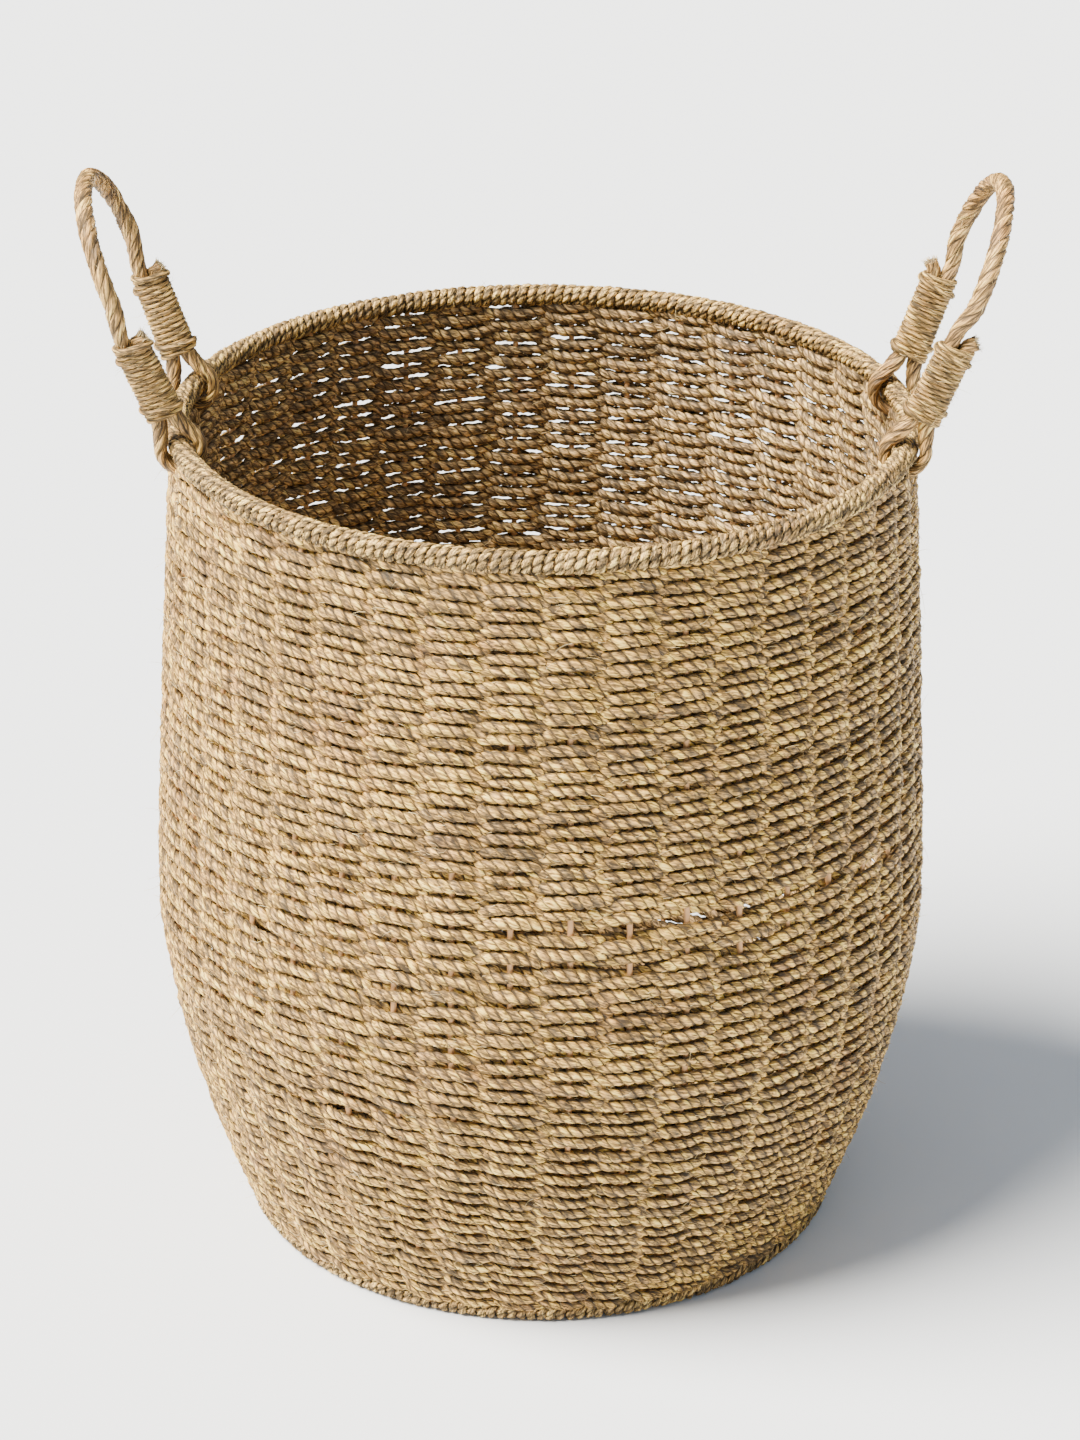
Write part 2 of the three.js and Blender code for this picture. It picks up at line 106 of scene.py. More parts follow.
@dataclass(frozen=True)
class Wobble:
    """A small random change along a path: its size, and the stretch of path over which it eases."""

    size: float
    stretch: float = 1.0

    def along(self, rng: np.random.Generator, place: Array) -> Array:
        """The change at each place, counted from zero in the unit of the stretch."""
        return self.size * wander(rng, place / self.stretch)


# Cords


@dataclass(frozen=True)
class Lay:
    """How a cord is laid: its plies, their twist, and the outline of its cross-section."""

    plies: int
    points_per_ply: int
    lay_length: float
    notch: float = 0.36
    fullness: float = 0.6
    crowding: float = 0.16

    def outline(self) -> Array:
        """The cross-section for a cord of radius 1.

        The angle runs once round, drawn a little towards the notches. The radius is one at the crown of
        a ply and falls by the notch share between two plies, as one minus notch times (1 - sine^fullness).

        Returns:
            Points as rows of (x, y), anticlockwise.
        """
        count = self.plies * self.points_per_ply
        share = np.arange(count) / self.points_per_ply
        within = share % 1.0
        drawn = share - self.crowding * np.sin(FULL_TURN * within) / FULL_TURN * 2.0
        angle = drawn * FULL_TURN / self.plies
        crown = np.abs(np.sin(HALF_TURN * within)) ** self.fullness
        radius = 1.0 - self.notch * (1.0 - crown)
        return np.stack([radius * np.cos(angle), radius * np.sin(angle)], axis=1)


@dataclass
class Mesh:
    """Points, four-sided faces and end caps, gathered before they become one object."""

    points: list[Array] = field(default_factory=list)
    quads: list[Array] = field(default_factory=list)
    quad_uv: list[Array] = field(default_factory=list)
    caps: list[Array] = field(default_factory=list)
    facing: list[Array] = field(default_factory=list)
    count: int = 0

    def add(self, points: Array, quads: Array, quad_uv: Array, caps: Array,
            facing: Array | float = 1.0) -> None:
        """Adds one surface, with its faces numbered from its own first point.

        Args:
            points: Rows of (x, y, z).
            quads: Rows of four point numbers.
            quad_uv: Four (u, v) pairs for each quad.
            caps: Rows of point numbers, one row for each end cap.
            facing: How squarely each point faces outward, from 1 down to -1 for inward.
        """
        self.points.append(points)
        self.quads.append(quads + self.count)
        self.quad_uv.append(quad_uv)
        self.caps.append(caps + self.count)
        self.facing.append(np.broadcast_to(facing, (len(points),)))
        self.count += len(points)

    def build(self, name: str, material: bpy.types.Material) -> bpy.types.Object:
        """Makes the object, smooth shaded, with its place in its mesh.

        Args:
            name: The piece's name.
            material: What it is made of.

        Returns:
            The new object, linked to the scene.
        """
        points = np.concatenate(self.points)
        quads = np.concatenate(self.quads)
        quad_uv = np.concatenate(self.quad_uv)
        corners = [quads.ravel()]
        starts = [np.arange(len(quads)) * 4]
        uv = [quad_uv.reshape(-1, 2)]
        used = quads.size
        for block in self.caps:
            corners.append(block.ravel())
            starts.append(used + np.arange(len(block)) * block.shape[1])
            uv.append(np.zeros((block.size, 2)))
            used += block.size
        mesh = bpy.data.meshes.new(name)
        mesh.vertices.add(len(points))
        mesh.vertices.foreach_set("co", points.astype(np.float32).ravel())
        mesh.loops.add(used)
        mesh.loops.foreach_set("vertex_index", np.concatenate(corners).astype(np.int32))
        first = np.concatenate(starts).astype(np.int32)
        mesh.polygons.add(len(first))
        mesh.polygons.foreach_set("loop_start", first)
        mesh.polygons.foreach_set("use_smooth", np.ones(len(first), bool))
        layer = mesh.uv_layers.new(name="cord")
        layer.data.foreach_set("uv", np.concatenate(uv).astype(np.float32).ravel())
        facing = mesh.attributes.new(name="facing", type="FLOAT", domain="POINT")
        facing.data.foreach_set("value", np.concatenate(self.facing).astype(np.float32))
        mesh.update(calc_edges=True)
        mesh.validate()
        mesh.materials.append(material)
        made = bpy.data.objects.new(name, mesh)
        bpy.context.scene.collection.objects.link(made)
        return made


@dataclass
class Cord:
    """One cord: its middle line, the side that counts as outward, and its thickness along the way.

    The shown side is above zero where its outward side can be seen, below zero where the other one can,
    and zero where both can.
    """

    line: Array
    outward: Array
    radius: Array
    lay: Lay
    flatten_out: Array | float = 1.0
    flatten_along: Array | float = 1.0
    first_turn: float = 0.0
    lumps: float = 0.0
    seed: int = 1
    shown_side: Array | float = 0.0
    has_neighbours: bool = True
    rings: Array = field(init=False)
    run: Array = field(init=False)
    facing: Array = field(init=False)

    def __post_init__(self) -> None:
        """Works out every ring of points.

        The tangent is the difference of neighbouring points. Outward is made square to it, and the
        third direction is their cross product. The section is turned by the distance walked over the
        lay's length, scaled by the radius and flattened along the two fixed directions. Every point is
        also pushed in or out by a small random share, shared half with the ring before it.

        The facing value drives painted shade: the flanks, which lie against the next cord, are painted dark,
        and the inner side a little dark. A point faces outward by one, inward by minus one, and along the
        row by nothing.
        """
        tangent = unit(np.gradient(self.line, axis=0))
        across = self.outward - np.sum(self.outward * tangent, axis=1, keepdims=True) * tangent
        across = unit(across)
        third = np.cross(tangent, across)
        self.run = run_length(self.line)
        turn = self.first_turn + FULL_TURN * self.run / self.lay.lay_length
        outline = self.lay.outline()
        cos, sin = np.cos(turn)[:, None], np.sin(turn)[:, None]
        draws = np.random.default_rng(self.seed).normal(0.0, self.lumps, (len(turn), len(outline)))
        draws = 1.0 + (draws + np.roll(draws, 1, axis=0)) / 2.0
        x = (outline[None, :, 0] * cos - outline[None, :, 1] * sin) * draws
        y = (outline[None, :, 0] * sin + outline[None, :, 1] * cos) * draws
        self.facing = x / np.hypot(x, y) if self.has_neighbours else np.ones_like(x)
        radius = np.broadcast_to(self.radius, self.run.shape)
        x = x * (radius * self.flatten_out)[:, None]
        y = y * (radius * self.flatten_along)[:, None]
        self.rings = self.line[:, None, :] + x[..., None] * across[:, None, :]
        self.rings += y[..., None] * third[:, None, :]

    def add_to(self, mesh: Mesh, first: int = 0, last: int | None = None) -> None:
        """Adds the stretch between two rings to a mesh, closed at both ends.

        Args:
            mesh: Where it goes.
            first: Number of the first ring.
            last: Number of the last ring, or None for the end of the cord.
        """
        stretch = slice(first, None if last is None else last + 1)
        rings, run = self.rings[stretch], self.run[stretch]
        rows, around = rings.shape[:2]
        i = np.arange(rows - 1)[:, None] * around
        j = np.arange(around)[None, :]
        k = (j + 1) % around
        quads = np.stack([i + j, i + k, i + around + k, i + around + j], axis=-1).reshape(-1, 4)
        u0, u1 = run[:-1, None] / MM, run[1:, None] / MM
        v0, v1 = j / around, (j + 1) / around
        sheet = (rows - 1, around)
        corner_u = [np.broadcast_to(u, sheet) for u in (u0, u0, u1, u1)]
        corner_v = [np.broadcast_to(v, sheet) for v in (v0, v1, v1, v0)]
        uv = np.stack([np.stack(corner_u, axis=-1), np.stack(corner_v, axis=-1)], axis=-1).reshape(-1, 4, 2)
        caps = np.stack([np.arange(around)[::-1], (rows - 1) * around + np.arange(around)])
        mesh.add(rings.reshape(-1, 3), quads, uv, caps, self.facing[stretch].ravel())


# Materials


def linear(code: str) -> tuple[float, float, float, float]:
    """An sRGB hex value as linear red, green, blue and an alpha of 1.

    Args:
        code: Six hex digits after a #.

    Returns:
        The four linear values.
    """
    parts = [int(code[i:i + 2], 16) / 255.0 for i in (1, 3, 5)]
    light = [p / 12.92 if p <= 0.04045 else ((p + 0.055) / 1.055) ** 2.4 for p in parts]
    return light[0], light[1], light[2], 1.0


def add_node(tree: bpy.types.NodeTree, kind: str, inputs: dict | None = None, **settings) -> bpy.types.Node:
    """Adds one node.

    Args:
        tree: The material's or world's node tree.
        kind: The node's type name.
        inputs: Socket name or number to a value, or to another node's output to link.
        settings: Properties of the node itself.

    Returns:
        The new node.
    """
    node = tree.nodes.new(kind)
    for key, value in settings.items():
        setattr(node, key, value)
    for key, value in (inputs or {}).items():
        if isinstance(value, bpy.types.NodeSocket):
            tree.links.new(value, node.inputs[key])
        else:
            node.inputs[key].default_value = value
    return node


def blank_material(name: str) -> tuple[bpy.types.Material, bpy.types.NodeTree]:
    """A new material with an empty node tree.

    Args:
        name: The material's name.

    Returns:
        The material and its tree.
    """
    material = bpy.data.materials.new(name)
    material.use_nodes = True
    material.node_tree.nodes.clear()
    return material, material.node_tree


@dataclass(frozen=True)
class JuteFinish:
    """Jute, retted, spun and laid into cord: dry golden bast fibre with a faint silky lustre.

    The eye gets fine streaks of light and dark fibre that follow the twist, painted shade in the line where
    two plies meet and on the flanks where cords lie together, and slow changes of tone along the cord, from
    pale straw to brown with a few russet lengths.
    A single fibre is too fine to show, so the streaks are drawn as bundles of several.
    """

    name: str
    pale: str
    middle: str
    brown: str
    russet: str
    shade: str
    plies: int
    round_mm: float
    lay_mm: float = 12.0
    twist_share: float = 0.7
    bundle_width_mm: float = 1.2
    bundle_length_mm: float = 6.0
    bundle_height_mm: float = 1.2
    fibre_width_mm: float = 0.55
    fibre_length_mm: float = 9.0
    fibre_height_share: float = 0.35
    tone_length_mm: float = 45.0
    tone_steps: tuple[float, float, float] = (0.32, 0.49, 0.68)
    patch_mm: float = 50.0
    patch_edge: tuple[float, float] = (0.53, 0.72)
    patch_share: float = 0.65
    ball_length_mm: float = 420.0
    # Painted shade: the dark line between plies, the dark flanks where cords touch, and the darker, greyer
    # inner side.
    groove_share: float = 0.45
    flank_share: float = 0.28
    inner_share: float = 0.86
    inner_saturation: float = 0.86
    brightest: str = "#FBDB7E"
    dull: float = 0.85
    lustrous: float = 0.42

    def streaks(self, tree: bpy.types.NodeTree, along: bpy.types.NodeSocket, place: bpy.types.NodeSocket,
                width_mm: float, length_mm: float) -> bpy.types.NodeSocket:
        """Noise drawn out along the fibres.

        Args:
            tree: The material's node tree.
            along: Distance along the cord in millimetres.
            place: Place round the cord, drifting with the fibres' lean.
            width_mm: Width of one streak.
            length_mm: Length of one streak.

        Returns:
            A value round one half.
        """
        u = add_node(tree, "ShaderNodeMath", {0: along, 1: 1.0 / length_mm}, operation="MULTIPLY")
        v = add_node(tree, "ShaderNodeMath", {0: place, 1: self.round_mm / width_mm}, operation="MULTIPLY")
        at = add_node(tree, "ShaderNodeCombineXYZ", {0: u.outputs[0], 1: v.outputs[0], 2: width_mm})
        noise = add_node(
            tree, "ShaderNodeTexNoise",
            {"Vector": at.outputs[0], "Scale": 1.0, "Detail": 2.0, "Roughness": 0.6})
        return noise.outputs["Fac"]

    def colour(self, tree: bpy.types.NodeTree, tone: bpy.types.NodeSocket) -> bpy.types.NodeSocket:
        """The fibre's own colour: brown, middle or pale by its tone, with russet patches across the rows.

        Args:
            tree: The material's node tree.
            tone: A value round one half that changes slowly along the cord.

        Returns:
            The colour before light and dark.
        """
        ramp = add_node(tree, "ShaderNodeValToRGB", {"Fac": tone})
        brown_until, middle_at, pale_from = self.tone_steps
        tones = ramp.color_ramp.elements
        tones[0].position = brown_until
        tones[0].color = linear(self.brown)
        tones[1].position = pale_from
        tones[1].color = linear(self.pale)
        tones.new(middle_at).color = linear(self.middle)
        where = add_node(tree, "ShaderNodeTexCoord")
        patch = add_node(
            tree, "ShaderNodeTexNoise",
            {"Vector": where.outputs["Object"], "Scale": 1000.0 / self.patch_mm, "Detail": 4.0,
             "Roughness": 0.7})
        reddish = add_node(
            tree, "ShaderNodeMapRange",
            {"Value": patch.outputs["Fac"], "From Min": self.patch_edge[0], "From Max": self.patch_edge[1],
             "To Max": self.patch_share})
        warmed = add_node(
            tree, "ShaderNodeMix",
            {"Factor": reddish.outputs["Result"], "A": ramp.outputs["Color"], "B": linear(self.russet)},
            data_type="RGBA")
        return warmed.outputs["Result"]

    def light(self, tree: bpy.types.NodeTree, along: bpy.types.NodeSocket, facing: bpy.types.NodeSocket,
              bundles: bpy.types.NodeSocket, fibres: bpy.types.NodeSocket) -> bpy.types.NodeSocket:
        """Light and dark, as the product of four shares.

        One is painted shade: dark on the flanks, where the cord lies against the next, a little dark on the
        inner side and full on the outer side. The others are for bundles of fibre, for single fibres, and
        for one ball of cord against the next.

        Args:
            tree: The material's node tree.
            along: Distance along the cord in millimetres.
            facing: From 1 where the cord faces outward to -1 where it faces inward.
            bundles: Streaks as wide as a bundle.
            fibres: Streaks as wide as a coarse fibre.

        Returns:
            What the colour is multiplied by.
        """
        turned = add_node(tree, "ShaderNodeMath", {0: facing, 1: 0.5, 2: 0.5}, operation="MULTIPLY_ADD")
        side_shade = add_node(tree, "ShaderNodeValToRGB", {"Fac": turned.outputs[0]})

        # Painted shade by side, from the inner side at 0 past the flank at a half to the outer side: the
        # flanks between cords are painted darkest, and the inner side a little dark.
        steps = (
            (0.0, self.inner_share), (0.3, (self.inner_share + self.flank_share) / 2),
            (0.5, self.flank_share), (0.64, self.flank_share + 0.08), (0.93, 1.0))
        levels = side_shade.color_ramp.elements
        levels.remove(levels[1])
        levels[0].position = steps[0][0]
        levels[0].color = (steps[0][1],) * 3 + (1.0,)
        for position, level in steps[1:]:
            levels.new(position).color = (level,) * 3 + (1.0,)
        ball_u = add_node(
            tree, "ShaderNodeMath", {0: along, 1: 1.0 / self.ball_length_mm}, operation="MULTIPLY")
        ball = add_node(
            tree, "ShaderNodeTexNoise", {"W": ball_u.outputs[0], "Scale": 1.0}, noise_dimensions="1D")

        # Each source, the two values of it that count as dark and as bright, and the share at each.
        shares = (
            (side_shade.outputs["Color"], 0.0, 1.0, 0.0, 1.05),
            (bundles, 0.42, 0.58, 0.32, 1.65),
            (fibres, 0.42, 0.58, 0.45, 1.45),
            (ball.outputs["Fac"], 0.35, 0.65, 0.82, 1.14),
        )
        product: bpy.types.NodeSocket | float = 1.0
        for source, dark, bright, low, high in shares:
            share = add_node(
                tree, "ShaderNodeMapRange",
                {"Value": source, "From Min": dark, "From Max": bright, "To Min": low, "To Max": high})
            times = add_node(
                tree, "ShaderNodeMath", {0: product, 1: share.outputs["Result"]}, operation="MULTIPLY")
            product = times.outputs[0]
        return product

    def make(self) -> bpy.types.Material:
        """Builds the node tree.

        Returns:
            The finished material.
        """
        material, tree = blank_material(self.name)
        uv = add_node(tree, "ShaderNodeUVMap", uv_map="cord")
        split = add_node(tree, "ShaderNodeSeparateXYZ", {0: uv.outputs["UV"]})
        along, around = split.outputs["X"], split.outputs["Y"]
        ply = add_node(tree, "ShaderNodeMath", {0: around, 1: float(self.plies)}, operation="MULTIPLY")
        facing = add_node(tree, "ShaderNodeAttribute", attribute_name="facing")

        # The fibres lean back from the ply's own direction, so their place round the cord drifts along it.
        lean = self.twist_share / self.lay_mm
        place = add_node(tree, "ShaderNodeMath", {0: along, 1: lean, 2: around}, operation="MULTIPLY_ADD")
        bundles = self.streaks(tree, along, place.outputs[0], self.bundle_width_mm, self.bundle_length_mm)
        fibres = self.streaks(tree, along, place.outputs[0], self.fibre_width_mm, self.fibre_length_mm)

        # Each ply changes its tone slowly along the cord.
        tone_u = add_node(
            tree, "ShaderNodeMath", {0: along, 1: 1.0 / self.tone_length_mm}, operation="MULTIPLY")
        tone_at = add_node(tree, "ShaderNodeCombineXYZ", {0: tone_u.outputs[0], 1: ply.outputs[0]})
        tone = add_node(
            tree, "ShaderNodeTexNoise",
            {"Vector": tone_at.outputs[0], "Scale": 1.0, "Detail": 4.0, "Roughness": 0.65})

        # Light and dark multiply the colour, but nothing gets paler than the brightest straw.
        colour = self.colour(tree, tone.outputs["Fac"])
        light = self.light(tree, along, facing.outputs["Fac"], bundles, fibres)
        lit = add_node(tree, "ShaderNodeVectorMath", {0: colour, "Scale": light}, operation="SCALE")
        held = add_node(
            tree, "ShaderNodeVectorMath", {0: lit.outputs[0], 1: linear(self.brightest)[:3]},
            operation="MINIMUM")

        # The inner side, which stands in shade, is painted greyer: a painted shade tint.
        shade_saturation = add_node(
            tree, "ShaderNodeMapRange",
            {"Value": facing.outputs["Fac"], "From Min": -0.4, "From Max": 0.1,
             "To Min": self.inner_saturation})
        shade_greyed = add_node(
            tree, "ShaderNodeHueSaturation",
            {"Saturation": shade_saturation.outputs["Result"], "Color": held.outputs[0]})

        # Painted shade in the groove where two plies meet. Distance from that line: 0 on the line, a half on
        # the crown of a ply. The dark line is wide where the tone is brown, and closes up where it is pale.
        crown = add_node(tree, "ShaderNodeMath", {0: ply.outputs[0], 1: 0.5}, operation="PINGPONG")
        width = add_node(
            tree, "ShaderNodeMapRange",
            {"Value": tone.outputs["Fac"], "From Min": 0.35, "From Max": 0.65,
             "To Min": 0.95 * self.groove_share, "To Max": 0.2 * self.groove_share})
        raised = add_node(
            tree, "ShaderNodeMapRange", {"Value": crown.outputs[0], "From Max": width.outputs["Result"]})
        coloured = add_node(
            tree, "ShaderNodeMix",
            {"Factor": raised.outputs["Result"], "A": linear(self.shade), "B": shade_greyed.outputs["Color"]},
            data_type="RGBA")

        # A bright bundle lies proud and has more lustre than a dark one.
        height = add_node(
            tree, "ShaderNodeMath", {0: fibres, 1: self.fibre_height_share, 2: bundles},
            operation="MULTIPLY_ADD")
        bump = add_node(
            tree, "ShaderNodeBump",
            {"Height": height.outputs[0], "Distance": self.bundle_height_mm * MM, "Strength": 1.0})
        gloss = add_node(
            tree, "ShaderNodeMapRange",
            {"Value": bundles, "From Min": 0.3, "From Max": 0.7, "To Min": self.dull,
             "To Max": self.lustrous})
        shader = add_node(
            tree, "ShaderNodeBsdfPrincipled",
            {"Base Color": coloured.outputs["Result"], "Roughness": gloss.outputs["Result"],
             "Normal": bump.outputs["Normal"], "Specular IOR Level": 0.5, "Sheen Weight": 0.08,
             "Sheen Roughness": 0.5, "Sheen Tint": linear(self.pale)})
        add_node(tree, "ShaderNodeOutputMaterial", {"Surface": shader.outputs[0]})
        return material


@dataclass(frozen=True)
class CaneFinish:
    """Split cane, peeled and sun dried: a pinkish tan with fine grain along it and almost no gloss."""

    name: str = "peeled_cane"
    light: str = "#DCAC78"
    dark: str = "#B78554"
    grain_mm: float = 0.5
    grain_stretch: float = 0.06
    grain_depth_mm: float = 0.1

    def make(self) -> bpy.types.Material:
        """Builds the node tree.

        Returns:
            The finished material.
        """
        material, tree = blank_material(self.name)
        where = add_node(tree, "ShaderNodeTexCoord")
        stretched = add_node(
            tree, "ShaderNodeMapping",
            {"Vector": where.outputs["Object"], "Scale": (1.0, 1.0, self.grain_stretch)})
        grain = add_node(
            tree, "ShaderNodeTexNoise",
            {"Vector": stretched.outputs[0], "Scale": 1000.0 / self.grain_mm / 2.0, "Detail": 3.0})
        mix = add_node(
            tree, "ShaderNodeMix",
            {"Factor": grain.outputs["Fac"], "A": linear(self.dark), "B": linear(self.light)},
            data_type="RGBA")
        bump = add_node(
            tree, "ShaderNodeBump",
            {"Height": grain.outputs["Fac"], "Distance": self.grain_depth_mm * MM, "Strength": 0.6})
        shader = add_node(
            tree, "ShaderNodeBsdfPrincipled",
            {"Base Color": mix.outputs["Result"], "Normal": bump.outputs["Normal"], "Roughness": 0.6,
             "Specular IOR Level": 0.35})
        add_node(tree, "ShaderNodeOutputMaterial", {"Surface": shader.outputs[0]})
        return material


@dataclass(frozen=True)
class LooseFibreFinish:
    """Single bast fibres that have worked loose: straw to brown, one tone each, with a faint lustre."""

    name: str = "loose_jute_fibre"
    pale: str = "#F2DCA8"
    brown: str = "#7F6238"

    def make(self) -> bpy.types.Material:
        """Builds the node tree.

        Returns:
            The finished material.
        """
        material, tree = blank_material(self.name)
        uv = add_node(tree, "ShaderNodeUVMap", uv_map="cord")
        split = add_node(tree, "ShaderNodeSeparateXYZ", {0: uv.outputs["UV"]})
        tone = add_node(tree, "ShaderNodeTexWhiteNoise", {"W": split.outputs["X"]}, noise_dimensions="1D")
        colour = add_node(
            tree, "ShaderNodeMix",
            {"Factor": tone.outputs["Value"], "A": linear(self.brown), "B": linear(self.pale)},
            data_type="RGBA")
        shader = add_node(
            tree, "ShaderNodeBsdfPrincipled",
            {"Base Color": colour.outputs["Result"], "Roughness": 0.55, "Specular IOR Level": 0.35})
        add_node(tree, "ShaderNodeOutputMaterial", {"Surface": shader.outputs[0]})
        return material


class Slot(Enum):
    """The record's material slots."""

    WEAVE = "jute_weave"
    PALE_CORD = "jute_pale_cord"
    ROPE = "jute_rope"
    BINDING = "jute_binding"
    CANE = "cane"


@dataclass
class Finishes:
    """One material for each slot, and one for loose fibres."""

    made: dict[Slot, bpy.types.Material] = field(init=False)
    loose: bpy.types.Material = field(init=False)

    def __post_init__(self) -> None:
        """Makes all the materials."""
        weave = JuteFinish(
            name="twined_two_ply_jute", pale="#EFC056", middle="#B68C47", brown="#77603C", russet="#8C6034",
            shade="#33240E", plies=2, round_mm=17.0)
        pale_cord = JuteFinish(
            name="wound_two_ply_jute", pale="#F2C878", middle="#BF9957", brown="#866940", russet="#966B3A",
            shade="#33260E", plies=2, round_mm=15.0, lay_mm=9.0, groove_share=0.6, flank_share=0.32)
        rope = JuteFinish(
            name="laid_jute_rope", pale="#D6AB62", middle="#96733F", brown="#6B512E", russet="#7C5029",
            shade="#3A2A12", plies=4, round_mm=30.0, lay_mm=32.0, bundle_length_mm=11.0,
            fibre_length_mm=15.0, twist_share=0.5, groove_share=0.3)
        binding = JuteFinish(
            name="bound_two_ply_jute", pale="#DDB568", middle="#A58147", brown="#70582F", russet="#7C552C",
            shade="#3A2C10", plies=2, round_mm=10.5, lay_mm=22.0, bundle_width_mm=1.0, bundle_length_mm=9.0,
            groove_share=0.35, flank_share=0.5)
        self.made = {
            Slot.WEAVE: weave.make(),
            Slot.PALE_CORD: pale_cord.make(),
            Slot.ROPE: rope.make(),
            Slot.BINDING: binding.make(),
            Slot.CANE: CaneFinish().make(),
        }
        self.loose = LooseFibreFinish().make()


def settle(piece: bpy.types.Object, body: str, nodes: list[str]) -> bpy.types.Object:
    """Hangs a finished piece on the CAD body that carries it, and hides the CAD nodes it stands for.

    Args:
        piece: The finished object.
        body: The CAD body that carries it.
        nodes: CAD nodes it replaces, which may be none.

    Returns:
        The same object.
    """
    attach(piece, body)
    if nodes:
        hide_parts(*nodes)
    log.info("%s: %d faces on %s", piece.name, len(piece.data.polygons), body)
    return piece


# The wall's outline


@dataclass
class WallOutline:
    """The middle surface of the woven wall, where the stakes stand, as a surface of revolution."""

    rim_height: float = RIM_HEIGHT
    belly_radius: float = 222 * MM
    belly_height: float = 205 * MM
    top_radius: float = 207.4 * MM
    foot_radius: float = 171.6 * MM
    lower_power: float = 1.72
    upper_power: float = 1.2
    middle_depth: float = 5.75 * MM
    lowest: float = 2 * MM
    past_rim: float = 4 * MM
    steps: int = 1600
    heights: Array = field(init=False)
    radii: Array = field(init=False)
    arcs: Array = field(init=False)
    lean: Array = field(init=False)

    def __post_init__(self) -> None:
        """Tabulates radius, arc length and slope against height.

        Below the belly the outside radius is belly minus (belly - foot) times (1 - z/belly height) to the
        lower power. Above, it is belly minus (belly - top) times the share of the way up to the upper
        power. The middle surface lies one depth inside it, measured square to it.
        """
        z = np.linspace(self.lowest, self.rim_height + self.past_rim, self.steps)
        below = np.maximum(1.0 - z / self.belly_height, 0.0)
        above = np.maximum((z - self.belly_height) / (self.rim_height - self.belly_height), 0.0)
        outside = self.belly_radius - (self.belly_radius - self.foot_radius) * below ** self.lower_power
        outside -= (self.belly_radius - self.top_radius) * above ** self.upper_power
        slope = np.gradient(outside, z)
        self.heights = z
        self.radii = outside - self.middle_depth * np.hypot(1.0, slope)
        self.lean = np.arctan(np.gradient(self.radii, z))
        self.arcs = run_length(np.stack([self.radii, z], axis=1))

    def arc_at(self, height: Array | float) -> Array:
        """Distance along the outline at a height."""
        return np.interp(height, self.heights, self.arcs)

    def place(self, arc: Array, azimuth: Array, outward: Array | float = 0.0) -> tuple[Array, Array]:
        """Points on or off the surface, and the direction square to it.

        Args:
            arc: Distance up the outline.
            azimuth: Angle round the basket, 0 at +X.
            outward: Distance off the surface, outward.

        Returns:
            The points and the unit normals, as rows of (x, y, z).
        """
        radius = np.interp(arc, self.arcs, self.radii)
        height = np.interp(arc, self.arcs, self.heights)
        lean = np.interp(arc, self.arcs, self.lean)
        out_flat, out_up = np.cos(lean), -np.sin(lean)
        radius = radius + outward * out_flat
        height = height + outward * out_up
        cos, sin = np.cos(azimuth), np.sin(azimuth)
        points = np.stack([radius * cos, radius * sin, height], axis=1)
        normals = np.stack([out_flat * cos, out_flat * sin, out_up], axis=1)
        return points, normals


@dataclass
class StakeRing:
    """Where the forty stakes stand: evenly behind, and a little closer together in front."""

    gaps_behind: int = 19
    gaps_in_front: int = 21

    @property
    def count(self) -> int:
        """Number of stakes."""
        return self.gaps_behind + self.gaps_in_front

    @property
    def mean_gap(self) -> float:
        """The angle between two stakes, midway between its values behind and in front."""
        return 0.5 * (HALF_TURN / self.gaps_behind + HALF_TURN / self.gaps_in_front)

    def azimuth(self, place: Array) -> Array:
        """The angle of a place counted in stake gaps from +X, on any turn.

        Args:
            place: Whole numbers are stakes, and halves lie midway between two.

        Returns:
            Angles in radians, growing with every turn.
        """
        turns = np.floor(place / self.count)
        within = place - turns * self.count
        behind = within * (HALF_TURN / self.gaps_behind)
        front = HALF_TURN + (within - self.gaps_behind) * (HALF_TURN / self.gaps_in_front)
        return turns * FULL_TURN + np.where(within < self.gaps_behind, behind, front)

    def place_of(self, azimuth: float) -> float:
        """The place in stake gaps of an angle between nothing and a full turn."""
        if azimuth < HALF_TURN:
            return azimuth / HALF_TURN * self.gaps_behind
        return self.gaps_behind + (azimuth - HALF_TURN) / HALF_TURN * self.gaps_in_front


# The woven wall


@dataclass(frozen=True)
class LoosePlace:
    """A gap between two rows that has opened at one stake."""

    azimuth_deg: float
    height: float
    opening: float
    spread_deg: float = 5.2


